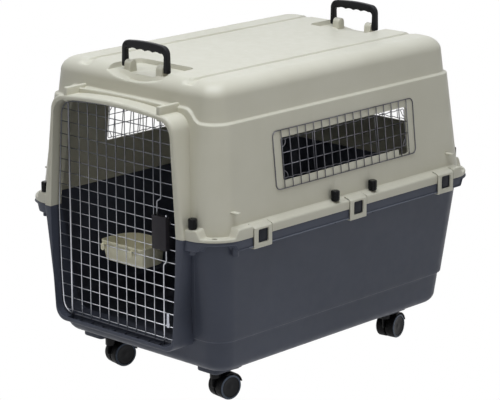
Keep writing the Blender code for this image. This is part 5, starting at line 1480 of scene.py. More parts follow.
@dataclass
class ShellFittings:
    """What is moulded on the shells besides their walls and rims."""

    post_radius: float = 0.0168
    post_x: float = 0.3345
    post_y: float = 0.418
    post_base: float = 0.0270
    post_top: float = 0.0703
    lug_radius: float = 0.0115
    lug_inner: float = 0.0454
    lug_outer: float = 0.0674
    lug_flare: float = 0.0012
    lug_foot_z: float = 0.8262
    handle_y: float = 0.400
    pivot_z: float = 0.8465
    boss_radius: float = 0.0078
    boss_drop: float = 0.036
    peg_radius: float = 0.0085
    peg_drop: float = 0.043
    peg_x: float = 0.3365
    peg_y: float = 0.4315
    web_length: float = 0.020
    web_half: float = 0.0022
    flange_depth: float = 0.024
    pad_bottom: float = 0.0885
    pad_top: float = 0.109
    pad_half: Pair = (0.0355, 0.052)
    pad_middle_x: float = 0.2095
    pad_front_y: float = -0.355
    pad_rear_y: float = 0.300
    catch_face: float = 0.3545
    catch_half: Pair = (0.0173, 0.0160)

    def posts(self) -> Piece:
        """Half-round posts beside the corners, whose tops are stepped by a slot."""
        posts, slots, beaks = Form(), Form(), Form()
        top = SPLIT_Z + self.post_top
        # Half width, reach along the crate, corner radius and its chords, reach along Z, edge
        cuts = (
            (beaks, 0.0140, (-0.0180, -0.0048), 0.002, 5, (-0.0058, -0.0018), 0.0012),
            (slots, 0.03, (-0.0040, 0.0004), 0.0006, 2, (-0.0050, 0.01), 0.0005),
            (slots, 0.03, (-0.03, -0.0030), 0.0006, 2, (-0.0016, 0.01), 0.0005))
        for way_x, way_y in QUARTERS:
            x, y = way_x * self.post_x, way_y * self.post_y
            slab(posts, circle((x, y), self.post_radius, 28), SPLIT_Z + self.post_base, top, 0.0016, Plane.XY)
            for form, half, span, radius, steps, rise, edge in cuts:
                outline = rounded_rectangle((x - half, y + span[0]), (x + half, y + span[1]), radius, steps)
                slab(form, outline, top + rise[0], top + rise[1], edge, Plane.XY)
        piece = posts.build("rod_posts")
        carve(piece, [slots.build("post_slots")])
        join(piece, [beaks.build("post_beaks")])
        return piece

    def lugs(self) -> Piece:
        """Half-round lugs that carry the handles' pins."""
        form = Form()
        turn = np.linspace(0.0, np.pi, 17)
        foot = self.lug_radius + self.lug_flare
        for way_y in WAYS:
            middle = way_y * self.handle_y
            y, z = middle + self.lug_radius * np.cos(turn), self.pivot_z + self.lug_radius * np.sin(turn)
            feet = [[middle - foot, self.lug_foot_z], [middle + foot, self.lug_foot_z]]
            outline = np.concatenate([np.stack([y, z], -1), feet])
            for way_x in WAYS:
                low, high = sorted((way_x * self.lug_inner, way_x * self.lug_outer))
                slab(form, outline, low, high, 0.0016, Plane.YZ)
        return form.build("handle_lugs")

    def underside(self) -> Piece:
        """Caster pads, bosses of the end knobs' studs, and pegs under the front corners."""
        form = Form()
        under = SPLIT_Z - self.flange_depth
        half_x, half_y = self.pad_half
        for way, y in product(WAYS, (self.pad_front_y, self.pad_rear_y)):
            x = way * self.pad_middle_x
            outline = rounded_rectangle((x - half_x, y - half_y), (x + half_x, y + half_y), 0.012, 6)
            slab(form, outline, self.pad_bottom, self.pad_top, 0.0035, Plane.XY)
        for key, place in knob_places().items():
            if key.startswith(("front", "rear")):
                boss = circle(place, self.boss_radius)
                slab(form, boss, SPLIT_Z - self.boss_drop, under + 0.003, 0.0014, Plane.XY)
        bottom, y = SPLIT_Z - self.peg_drop, -self.peg_y
        for way in WAYS:
            x = way * self.peg_x
            slab(form, circle((x, y), self.peg_radius, 22), bottom, under + 0.006, 0.0016, Plane.XY)
            low, high = sorted((x - way * self.web_length, x))
            web = rounded_rectangle((low, y - self.web_half), (high, y + self.web_half), 0.0006, 2)
            slab(form, web, bottom + 0.004, under + 0.006, 0.0005, Plane.XY)
        return form.build("lower_shell_underside")

    def catches(self) -> Piece:
        """Tabs of the lower shell that the side clips snap over, each with a raised panel."""
        form = Form()
        half_y, half_z = self.catch_half
        for way, middle in product(WAYS, clip_places()):
            face, y = way * self.catch_face, middle + SideClip.window_shift
            low, high = sorted((face - way * 0.006, face + way * 0.0010))
            plate = rounded_rectangle((y - half_y, SPLIT_Z - half_z), (y + half_y, SPLIT_Z + half_z), 0.0025)
            slab(form, plate, low, high, 0.0006, Plane.YZ)
            path = inset(plate, 0.0010)
            rim = np.column_stack([np.full(len(path), face + way * 0.0011), path])
            form.rod(rim, 0.0009, (1.0, 0.0, 0.0), closed=True)
            start = y - half_y
            stop = rounded_rectangle(
                (start + 0.004, SPLIT_Z - half_z + 0.003), (start + 0.0075, SPLIT_Z + half_z * 0.2), 0.0012)
            low, high = sorted((face, face + way * 0.0020))
            slab(form, stop, low, high, 0.0006, Plane.YZ)
        return form.build("clip_catches")

    def build(self, workshop: Workshop) -> None:
        """Make and fit every fitting."""
        workshop.fit(self.posts(), Finish.UPPER, "crate")
        workshop.fit(self.lugs(), Finish.UPPER, "crate")
        workshop.fit(self.underside(), Finish.LOWER, "crate")
        # The catches take a darker plastic, painted shade inside the clips' windows
        workshop.fit(self.catches(), Finish.SHADED_CATCH, "crate")


def clip_places() -> Place:
    """Middle of each side clip along the crate, front to rear."""
    return (-0.354, 0.006, 0.366)


def knob_places() -> dict[str, Pair]:
    """Centre of each clamp knob on the rim, by name."""
    side_x, end_x, end_y = 0.34225, 0.266, 0.50825
    places = {}
    for side, way_x in (("right", 1.0), ("left", -1.0)):
        for end, way_y in (("front", -1.0), ("rear", 1.0)):
            places[f"{end}_{side}"] = (way_x * end_x, way_y * end_y)
            places[f"{side}_{end}"] = (way_x * side_x, Flange.middle_y + way_y * Flange.knob_pitch / 2.0)
    return places


# Windows
@dataclass
class WindowWires:
    """Outer grille and inner retainer of one window."""

    side: str
    wire: float = 0.0024
    end_lap: float = 0.0292
    rim_half: float = 0.0735
    row_half: float = 0.0155
    pitch: float = 0.0306
    corner: float = 0.014
    retainer_inset: float = 0.0045
    tie_share: float = 0.5
    wave: float = 0.0009
    clear: float = 0.0003
    lap: float = 0.0008
    retainer_wire: float = 0.9
    corner_length: float = 0.014
    corner_drop: float = 0.020

    def grille(self) -> Piece:
        """Rim wire with rounded corners, upright wires in front and level wires behind."""
        shell = UpperShell()
        half = shell.window_length(self.side)
        end, high, radius = half + self.end_lap, self.rim_half, self.wire / 2.0
        front, back = self.clear + 3.0 * radius * 0.92, self.clear + radius
        form = Form()
        outline = rounded_rectangle((-end, -high), (end, high), self.corner, 7)
        form.rod(at_height(outline, self.clear + radius * 1.2), radius * 1.12, UP, closed=True)
        for x in np.linspace(-half, half, round(2.0 * half / self.pitch) + 1):
            form.bar((x, -high - self.lap, front), (x, high + self.lap, front), radius, UP)
        for row in (-self.row_half, self.row_half):
            form.bar((-half - radius, row, back), (half + radius, row, back), radius, UP)
        form.moved(shell.window_frame(self.side))
        return form.build("window_wires_" + self.side, 60.0)

    def retainer(self) -> Piece:
        """Inner frame of wavy wire, tied across, whose corner hooks reach out to the grille.

        The wave falls from the frame's edge by wave times one less the cosine, once a pitch.
        """
        shell = UpperShell()
        half = shell.window_length(self.side)
        reach, high = half - self.retainer_inset, shell.window_half_height - self.retainer_inset
        radius, depth = self.wire / 2.0, -WALL / 2.0
        thin = radius * self.retainer_wire
        along = np.linspace(-reach + 0.012, reach - 0.012, 97)
        level = high - self.wave * (1.0 - np.cos((along + half) * 2.0 * np.pi / self.pitch))
        corner = fillet([(reach - self.corner_length, high, 0.0), (reach, high, 0.010),
                         (reach, high - self.corner_drop, 0.0)], 6, closed=False)[1:]
        upper = np.column_stack([along, level])
        right = np.concatenate([corner, corner[::-1] * MIRROR_Y])
        outline = np.concatenate([upper, right, upper[::-1] * MIRROR_Y, right[::-1] * MIRROR_X])
        form = Form()
        form.rod(at_height(outline, depth), thin, UP, 7, closed=True)
        behind = depth - radius
        for x in (-half * self.tie_share, half * self.tie_share):
            form.bar((x, -high - 0.001, behind), (x, high + 0.001, behind), thin, UP, 7)
        hook = np.array([(half + 0.006, high - 0.022, depth - 0.006), (half - 0.010, high - 0.019, -0.001),
                         (half - 0.017, high - 0.010, 0.0005), (half - 0.018, high, depth)])
        for ways in QUARTERS:
            # The normal lies along none of the hook's stretches
            form.rod(bend(hook * (*ways, 1.0), 0.007, 5), thin, (0.31, 0.17, 0.93), 7)
        form.moved(shell.window_frame(self.side))
        return form.build("window_holder_" + self.side, 60.0)

    def build(self, workshop: Workshop) -> None:
        """Make and fit both wires of this window."""
        for piece, node in ((self.grille(), "window_grille_"), (self.retainer(), "window_retainer_")):
            workshop.fit(piece, Finish.DARK_WIRE, "crate", [node + self.side])


# Door
@dataclass
class Door:
    """Wire door with its latch, rods, spring and keeper clip."""

    split: float = 0.2225
    top: tuple[float, ...] = (0.2045, 0.752, 0.766, 0.034)
    low: tuple[float, ...] = (0.219, 0.310, 0.211, 0.181, 0.034)
    hinge_x: float = -0.170
    plane_y: float = -0.506
    clear: float = 0.004
    seat: float = 0.0003
    into_frame: float = 0.006
    wire_lap: float = 0.0052
    wire: float = 0.0024
    rim_wire: float = 0.0034
    pitch: float = 0.0333
    columns: int = 9
    rows: int = 17
    top_row: float = 0.7275
    hinge_radius: float = 0.0024
    rod_radius: float = 0.0020
    rod_y: float = -0.5118
    latch_x: float = 0.1635
    latch_low: Place = (0.1390, -0.5235, 0.4275)
    latch_high: Place = (0.1880, -0.5080, 0.5125)
    latch_shell: float = 0.0025
    latch_back: float = 0.0012
    slide_low: Place = (0.1421, -0.5198, 0.4305)
    slide_size: Place = (0.0428, 0.0100, 0.0220)
    slide_setback: float = 0.0030
    upper_stem_x: float = 0.1475
    lower_stem_x: float = 0.1785
    upper_rod_x: float = 0.1610
    lower_rod_x: float = 0.1690
    upper_jog_z: float = 0.552
    lower_jog_z: float = 0.392
    rod_start: float = 0.0077
    post_length: Pair = (0.004, 0.0070)
    coil_radius: float = 0.0045
    coil_wire: float = 0.0006
    coil_turns: float = 6.0
    coil_gap: float = 0.0009
    keeper_x: float = 0.179
    keeper_rows: tuple[int, int] = (14, 15)

    def lintel(self, x: float) -> float:
        """Height of the doorway's arch at a distance from its middle."""
        half, shoulder, crown, _ = DoorSurround().inner_top
        return crown - (crown - shoulder) * (x / half) ** 2

    def grid(self) -> Piece:
        """Rim wire, upright wires in front of it and level wires that end on it."""
        upper, lower = DoorSurround().lines(self.clear + self.rim_wire / 2.0, self.split, self.top, self.low)
        form = Form()
        rim = at_depth(DoorSurround.closed(upper, lower), self.plane_y)
        form.rod(rim, self.rim_wire / 2.0, BACK, 10, closed=True)
        radius = self.wire / 2.0
        front, back = self.plane_y - radius * 0.55, self.plane_y + radius * 1.05
        low = lower[-1, 1] - radius
        for index in range(self.columns):
            x = self.hinge_x + self.pitch * (index + 1)
            top = float(np.interp(abs(x), upper[::-1, 0], upper[::-1, 1])) + radius
            form.bar((x, front, low), (x, front, top), radius, BACK)
        side = np.concatenate([lower[::-1], upper[1:]])
        side = side[np.argsort(side[:, 1], kind="stable")]
        for index in range(self.rows):
            z = self.top_row - self.pitch * index
            half = float(np.interp(z, side[:, 1], side[:, 0])) + self.wire_lap
            form.bar((-half, back, z), (half, back, z), radius, BACK)
        return form.build("door_wires", 60.0)

    def hinge_rod(self) -> Piece:
        """Rod that the door turns on, with its ends in the sill and the arch."""
        x, y = self.hinge_x, self.plane_y - self.rim_wire / 2.0 - self.seat - self.hinge_radius
        low, high = DoorSurround().inner_low[3] - self.into_frame, self.lintel(x) + self.into_frame
        form = Form()
        form.bar((x, y, low), (x, y, high), self.hinge_radius, BACK, 14)
        return form.build("door_hinge_rod", 60.0)

    def housing(self) -> Piece:
        """Latch housing: a rounded box, open at its top and bottom, with a blank face."""
        low, high, shell = self.latch_low, self.latch_high, self.latch_shell
        form, hollow = Form(), Form()
        slab(form, rounded_rectangle(low[:2], high[:2], 0.0016, 4), low[2], high[2], 0.0008, Plane.XY)
        box = form.build("door_latch_housing")
        inner = rounded_rectangle(
            (low[0] + shell, low[1] + shell), (high[0] - shell, high[1] - self.latch_back), 0.001, 3)
        hollow.loft(np.stack([at_height(inner, z) for z in (low[2] - 0.01, high[2] + 0.01)]))
        carve(box, [hollow.build("latch_hollow")])
        return box

    def slide(self, upward: bool) -> tuple[Piece, Piece]:
        """One latch slide's block, and its steel thumb post."""
        low = np.array(self.slide_low)
        if upward:
            low[2] = self.latch_high[2] - self.slide_setback - self.slide_size[2]
        high = low + np.array(self.slide_size)
        block, post = Form(), Form()
        block.block(low, high, 0.0012)
        word, way, x, end = "lower", -1.0, self.upper_stem_x, low[2]
        if upward:
            word, way, x, end = "upper", 1.0, self.lower_stem_x, high[2]
        start, tip = end - way * self.post_length[0], end + way * self.post_length[1]
        post.bar((x, self.rod_y, start), (x, self.rod_y, tip), self.rod_radius, BACK, 12)
        return block.build(f"latch_{word}_block"), post.build(f"latch_{word}_post", 60.0)

    def rod(self, upward: bool) -> Piece:
        """One latch rod from its slide, round its jog, to just short of the sill or the arch."""
        inside = self.slide_setback + self.rod_start
        if upward:
            word, way, start = "upper", 1.0, self.latch_high[2] - inside
            stem, run, jog = self.upper_stem_x, self.upper_rod_x, self.upper_jog_z
            tip = self.lintel(run) - 0.0006
        else:
            word, way, start = "lower", -1.0, self.latch_low[2] + inside
            stem, run, jog = self.lower_stem_x, self.lower_rod_x, self.lower_jog_z
            tip = DoorSurround().inner_low[3] + 0.0006
        y = self.rod_y
        before, after = jog - way * 0.0045, jog + way * 0.0035
        corners = [(stem, y, start), (stem, y, before), (run, y, after), (run, y, tip)]
        form = Form()
        form.rod(bend(corners, 0.0042), self.rod_radius, BACK, 12)
        return form.build("door_rod_" + word, 60.0)

    def spring(self) -> Piece:
        """Coil spring between the two slides, as a helix with closed end turns."""
        low = self.slide_low[2] + self.slide_size[2] + self.coil_gap
        high = self.latch_high[2] - self.slide_setback - self.slide_size[2] - self.coil_gap
        share = np.linspace(0.0, 1.0, 121)
        rise = smooth(share, -0.12, 1.12)
        rise = low + (high - low) * (rise - rise[0]) / (rise[-1] - rise[0])
        angle = share * 2.0 * np.pi * self.coil_turns
        middle_y = self.slide_low[1] + self.slide_size[1] / 2.0
        x, y = self.latch_x + self.coil_radius * np.cos(angle), middle_y + self.coil_radius * np.sin(angle)
        form = Form()
        form.rod(np.stack([x, y, rise], -1), self.coil_wire, UP, 6)
        return form.build("door_latch_spring", 60.0)

    def keeper(self) -> Piece:
        """Sheet clip on two level wires, with a wire loop that guides the lower rod."""
        front = self.plane_y - self.rim_wire / 2.0 - self.seat
        high, low = (self.top_row - self.pitch * index for index in self.keeper_rows)
        x, y = self.keeper_x, front - 0.0009
        form = Form()
        outline = rounded_rectangle((x - 0.0055, low - 0.0024), (x + 0.0035, high + 0.0024), 0.0022)
        slab(form, outline, front - 0.0012, front, 0.0003, Plane.XZ, 2)
        spine = rounded_rectangle((x - 0.0030, low + 0.003), (x + 0.0010, high - 0.003), 0.0018)
        slab(form, spine, front - 0.0018, front - 0.0008, 0.0004, Plane.XZ, 2)
        loop = [(x + 0.0045, y, low + 0.010), (x + 0.0045, y, low - 0.001), (x - 0.0035, y, low - 0.0022),
                (x - 0.0055, y, low + 0.0060)]
        form.rod(bend(loop, 0.003, 5), 0.0008, BACK, 7)
        return form.build("door_keeper", 60.0)

    def build(self, workshop: Workshop) -> None:
        """Make and fit all that turns with the door, and the slides and rods on it."""
        upper_block, upper_post = self.slide(True)
        lower_block, lower_post = self.slide(False)
        for piece, finish, body, slot, nodes in (
                (self.grid(), Finish.WIRE, "door", Slot.WIRE, ["door_grid"]),
                (self.hinge_rod(), Finish.WIRE, "door", Slot.WIRE, ["hinge_rod"]),
                (self.housing(), Finish.HOUSING, "door", Slot.BLACK, ["latch_housing"]),
                (self.spring(), Finish.WIRE, "door", Slot.WIRE, ["latch_spring"]),
                (self.keeper(), Finish.SHEET, "door", Slot.WIRE, ["door_keeper_clip"]),
                (upper_block, Finish.BLACK, "upper_latch", Slot.BLACK, ["latch_slide_upper"]),
                (lower_block, Finish.BLACK, "lower_latch", Slot.BLACK, ["latch_slide_lower"]),
                (upper_post, Finish.SHEET, "upper_latch", Slot.WIRE, []),
                (lower_post, Finish.SHEET, "lower_latch", Slot.WIRE, []),
                (self.rod(True), Finish.WIRE, "upper_latch", Slot.WIRE, ["latch_rod_upper"]),
                (self.rod(False), Finish.WIRE, "lower_latch", Slot.WIRE, ["latch_rod_lower"])):
            workshop.fit(piece, finish, body, nodes)


@dataclass
class FeedingBowl:
    """Bowl with a rounded back and panelled front, hung by two ears over a door wire."""

    left: float = -0.0701
    right: float = 0.0859
    front_y: float = -0.5040
    depth: float = 0.112
    height: float = 0.053
    rim_z: float = 0.4065
    wall: float = 0.0025
    taper: float = 0.007
    corner: float = 0.012
    back_round: float = 0.070
    hook_x: Pair = (-0.05345, 0.04645)
    hook_row: float = 0.3945
    hook_width: float = 0.0115
    hook_drop: float = 0.0175
    thick: float = 0.0026
    clear: float = 0.0006
    draw: float = 0.0013
    places: int = 160
    panels: float = 5.0
    side_panel: float = 0.030

    def outline(self, draw: float, flute: float) -> Array:
        """Outline at one height, with shallow upright grooves between its panels.

        The grooves are narrow bells of one depth along the outline's own length.
        """
        low, high = self.left + draw, self.right - draw
        front, back = self.front_y + draw, self.front_y + self.depth - draw
        front, back = self.front_y + draw, self.front_y + self.depth - draw
        flat = fillet([(low, front, self.corner), (high, front, self.corner),
                       (high, back, self.back_round), (low, back, self.back_round)], 10)
        closed = np.concatenate([flat, flat[:1]])
        length = np.concatenate([[0.0], np.cumsum(np.linalg.norm(np.diff(closed, axis=0), axis=1))])
        even = np.linspace(0.0, length[-1], self.places, endpoint=False)
        places = np.stack([np.interp(even, length, closed[:, axis]) for axis in (0, 1)], -1)
        panel = (places[:, 0] - low) / (high - low) * self.panels
        groove = np.exp(-((panel - np.round(panel)) / 0.075) ** 2) * (places[:, 1] < front + 0.003)
        panel = (places[:, 1] - front) / self.side_panel
        groove = groove + np.exp(-((panel - np.round(panel)) / 0.09) ** 2) * (places[:, 1] >= front + 0.006)
        ahead = np.roll(places, -1, 0) - np.roll(places, 1, 0)
        ahead /= np.linalg.norm(ahead, axis=1)[:, None]
        inward = np.stack([-ahead[:, 1], ahead[:, 0]], -1)
        return places + inward * (flute * groove)[:, None]

    def build_mesh(self) -> Piece:
        """The bowl as one closed skin, and its two ears."""
        rim, wall, taper = self.rim_z, self.wall, self.taper
        bottom = rim - self.height
        # Each row's inward length, its height, and the depth of its grooves
        rows = [
            (taper + 0.0020, bottom, 0.0), (taper + 0.0006, bottom + 0.0006, 0.0),
            (taper, bottom + 0.0022, 0.0008), (taper * 0.90, bottom + 0.008, 0.0011),
            (taper * 0.15, rim - 0.0085, 0.0011), (taper * 0.10, rim - 0.0058, 0.0004),
            (-0.0010, rim - 0.0050, 0.0), (-0.0013, rim - 0.0040, 0.0), (-0.0013, rim - 0.0010, 0.0),
            (-0.0006, rim, 0.0), (0.0012, rim, 0.0), (0.0020, rim - 0.0006, 0.0),
            (wall, rim - 0.0030, 0.0), (taper * 0.9 + wall, bottom + 0.010, 0.0),
            (taper + wall + 0.0015, bottom + 0.0045, 0.0), (taper + wall + 0.0050, bottom + wall, 0.0)]
        form = Form()
        form.loft(np.array([at_height(self.outline(draw + self.draw, flute), z) for draw, z, flute in rows]))
        low = self.hook_row + Door.wire / 2.0 + self.clear
        high, front, half = low + self.thick, Door.plane_y - Door.wire, self.hook_width / 2.0
        face, wide = self.front_y, half + 0.003
        for x in self.hook_x:
            lip = rounded_rectangle((x - half, high - self.hook_drop), (x + half, high), 0.0044)
            slab(form, lip, front - self.thick, front, 0.0009, Plane.XZ)
            bar = rounded_rectangle((front - self.thick + 0.0006, low), (face + 0.0035, high), 0.001, 3)
            slab(form, bar, x - half + 0.0008, x + half - 0.0008, 0.0006, Plane.YZ)
            root = rounded_rectangle((x - wide, rim - 0.024), (x + wide, rim - 0.002), 0.003, 4)
            slab(form, root, face + 0.0006, face + 0.0040, 0.0006, Plane.XZ)
        return form.build("bowl_moulding")

    def build(self, workshop: Workshop) -> None:
        """Make and fit the bowl."""
        workshop.fit(self.build_mesh(), Finish.BOWL, "bowl", ["feeding_bowl"])


@dataclass
class CarryingHandle:
    """Black bail handle with finger dents under its grip, and its pins."""

    end: str
    half: float = 0.0805
    leg: float = 0.0125
    thickness: float = 0.015
    grip: float = 0.023
    top: float = 0.9105
    crown_drop: float = 0.003
    pivot_z: float = 0.8465
    eye: float = 0.0080
    middle_y: float = 0.400
    flare: float = 0.0015
    shoulder_round: float = 0.022
    dent_pitch: float = 0.02725
    dent_depth: float = 0.0032
    mark: Pair = (0.0635, 0.0135)

    def outline(self) -> Array:
        """Front view, with an arched top, round eyes and four dents under the grip.

        Each dent is a hump of the sine's size to the power 0.8.
        """
        outer, inner = self.half, self.half - self.leg
        shoulder, under, foot = self.top - self.crown_drop, self.top - self.grip, self.pivot_z - self.eye
        x = np.linspace(-inner + 0.0125, inner - 0.0125, 49)
        x = x[x >= 0.0]
        hump = np.abs(np.sin(np.pi * (x + 2.0 * self.dent_pitch) / self.dent_pitch)) ** 0.8
        grip = np.column_stack([x, under - 0.0012 + self.dent_depth * hump])
        end_x = outer - self.shoulder_round
        over_x = np.linspace(end_x, 0.0, 9)
        over = np.column_stack([over_x, shoulder + self.crown_drop * (1.0 - (over_x / end_x) ** 2)])
        corner = fillet([(outer + self.flare, foot, 0.0), (outer, shoulder, self.shoulder_round),
                         (0.0, shoulder, 0.0)], 9, closed=False)[1:-1]
        inner_corner = fillet([(0.0, under, 0.0), (inner, under, 0.0090), (inner - self.flare, foot, 0.0)],
                              7, closed=False)[1:-1]
        low_x, high_x = inner - self.flare, outer + self.flare
        eye = fillet([(low_x, self.pivot_z, 0.0), (low_x, foot, 0.0058), (high_x, foot, 0.0062),
                      (high_x, self.pivot_z, 0.0)], 6, closed=False)
        right = np.concatenate([grip, inner_corner, eye, corner, over])
        return np.concatenate([right, right[-2:0:-1] * MIRROR_X])

    def build_mesh(self) -> Piece:
        """Handle with rounded edges and a dished screw mark at each end of its grip."""
        y = self.middle_y if self.end == "rear" else -self.middle_y
        half = self.thickness / 2.0
        form, marks, screws = Form(), Form(), Form()
        slab(form, self.outline(), y - half, y + half, 0.0036, Plane.XZ, 5)
        handle = form.build(self.end + "_bail")
        for side, face in QUARTERS:
            surface, centre = y + face * half, (side * self.mark[0], self.top - self.mark[1])
            low, high = sorted((surface - face * 0.0012, surface + face * 0.004))
            slab(marks, circle(centre, 0.0042, 20), low, high, 0.0004, Plane.XZ)
            low, high = sorted((surface - face * 0.0030, surface - face * 0.0002))
            slab(screws, circle(centre, 0.0026, 16), low, high, 0.0008, Plane.XZ)
        carve(handle, [marks.build("handle_marks")])
        join(handle, [screws.build("handle_screws")])
        return handle

    def build(self, workshop: Workshop) -> None:
        """Make and fit the handle."""
        body = self.end + "_carrying_handle"
        workshop.fit(self.build_mesh(), Finish.BLACK, body, [self.end + "_handle"])


@dataclass
class Caster:
    """Twin-wheel swivel caster: hood, wheels and, on the front ones, a brake pedal."""

    key: str
    place: Pair
    yaw: float
    braked: bool
    trail: float = 0.030
    radius: float = 0.0335
    width: float = 0.0245
    offset: float = 0.0150
    hood_gap: float = 0.0022
    hood_thickness: float = 0.0028
    hood_width: float = 0.0540
    web_radius: float = 0.0290
    web_thickness: float = 0.0040
    neck_radius: float = 0.0145
    neck_bottom: float = 0.0600
    pad_bottom: float = 0.0885
    collar: float = 0.0022
    hood_arc: Pair = (15.0, 112.0)
    tyre_round: float = 0.0036
    tyre_back_round: float = 0.0018
    pedal_gap: float = 0.0032
    pedal_thickness: float = 0.0030

    def matrix(self) -> Matrix:
        """From the caster's own frame, with its stem at the origin, to the drawing's."""
        return Matrix.Translation((*self.place, 0.0)) @ Matrix.Rotation(math.radians(self.yaw), 4, "Z")

    def hood(self) -> Piece:
        """Web between the wheels, arched hood over them, and neck up to the pad."""
        form = Form()
        axle, web, half = (self.trail, self.radius), self.web_thickness / 2.0, self.hood_width / 2.0
        slab(form, circle(axle, self.web_radius, 40), -web, web, 0.0020, Plane.YZ)
        inner = self.radius + self.hood_gap
        outer = inner + self.hood_thickness
        angle = np.radians(np.linspace(*self.hood_arc, 25))
        arc = np.stack([np.cos(angle), np.sin(angle)], -1)
        outline = np.concatenate([np.array(axle) + outer * arc, np.array(axle) + inner * arc[::-1]])
        slab(form, outline, -half, half, 0.0009, Plane.YZ)
        neck, collar = self.neck_radius, self.neck_radius + self.collar
        spine = rounded_rectangle((-neck * 0.9, self.radius), (self.trail, self.radius + inner), 0.006)
        slab(form, spine, -web, web, 0.0020, Plane.YZ)
        slab(form, circle((0.0, 0.0), neck, 32), self.neck_bottom, self.pad_bottom - 0.0004, 0.0012, Plane.XY)
        low, high = self.pad_bottom - 0.0050, self.pad_bottom - 0.0003
        slab(form, circle((0.0, 0.0), collar, 32), low, high, 0.0008, Plane.XY)
        form.moved(self.matrix())
        return form.build(f"caster_{self.key}_body")

    def wheel(self, side: str) -> list[Piece]:
        """One wheel's tyre, its dished hub cap, and the lighter ring on its face, whose tone is also lifted
        as painted light against the shade under the crate.
        """
        way = 1.0 if side == "right" else -1.0
        half, r = self.width / 2.0, self.radius
        turn, front, back = quarter(5), self.tyre_round, self.tyre_back_round
        rim = np.stack([r - front + front * np.cos(turn), half - front + front * np.sin(turn)], -1)
        rear = np.stack([r - back + back * np.cos(turn), back - half - back * np.sin(turn)], -1)[::-1]
        tyre = np.concatenate([rear, rim, [
            (0.80 * r, half), (0.785 * r, half - 0.0006), (0.780 * r, half - 0.0030),
            (0.30 * r, half - 0.0040), (0.30 * r, -half)]])
        share = np.linspace(0.0, 1.0, 9)
        dish = half - 0.0012 - 0.0016 * smooth(share, 0.05, 0.45) + 0.0010 * smooth(share, 0.72, 0.86)
        cap = np.concatenate([np.stack([0.775 * r * (1.0 - share), dish], -1),
                              [(0.0, half - 0.0060), (0.775 * r, half - 0.0060)]])
        band = np.array([
            (0.980 * r, half - 0.0026), (0.965 * r, half - 0.0010), (0.935 * r, half + 0.0002),
            (0.815 * r, half + 0.0002), (0.795 * r, half - 0.0006), (0.792 * r, half - 0.0040),
            (0.980 * r, half - 0.0040)])
        pieces = []
        for profile, name, steps in ((tyre, "tyre", 56), (cap, "hub", 48), (band, "rim", 56)):
            form = Form()
            form.spun((profile + (0.0, self.offset)) * (1.0, way), steps, (0.0, self.trail, self.radius))
            form.moved(self.matrix())
            pieces.append(form.build(f"caster_{self.key}_{name}_{side}"))
        return pieces

    def brake(self) -> Piece:
        """Pedal with a forked end, on a narrow foot over the hood."""
        top = 2.0 * self.radius + self.hood_gap + self.hood_thickness
        low = top + self.pedal_gap
        half = [(0.013, 0.0240, 0.003), (0.018, 0.0400, 0.006), (0.018, 0.0640, 0.003),
                (0.0085, 0.0640, 0.003), (0.0060, 0.0550, 0.003)]
        outline = fillet(half + [(-x, y, radius) for x, y, radius in reversed(half)], 4)
        form = Form()
        slab(form, outline, low, low + self.pedal_thickness, 0.0009, Plane.XY)
        foot = rounded_rectangle((-0.009, 0.0240), (0.009, 0.0270), 0.0010, 3)
        slab(form, foot, top + 0.0004, low + 0.0015, 0.0002, Plane.XY)
        form.moved(self.matrix())
        return form.build(f"caster_{self.key}_pedal")

    def build(self, workshop: Workshop) -> None:
        """Make and fit the whole caster."""
        stem = f"caster_{self.key}"
        workshop.fit(self.hood(), Finish.BLACK, stem + "_swivel", [stem + "_hood"])
        for side in ("right", "left"):
            tyre, hub, rim = self.wheel(side)
            workshop.fit(tyre, Finish.TYRE, f"{stem}_wheel_{side}", [f"{stem}_wheel_{side}"])
            workshop.fit(hub, Finish.HUB, f"{stem}_wheel_{side}")
            # The ring's tone carries painted light against the shade under the crate
            workshop.fit(rim, Finish.RIM_WITH_PAINTED_LIGHT, f"{stem}_wheel_{side}")
        if self.braked:
            workshop.fit(self.brake(), Finish.BLACK, stem + "_brake", [stem + "_brake"])


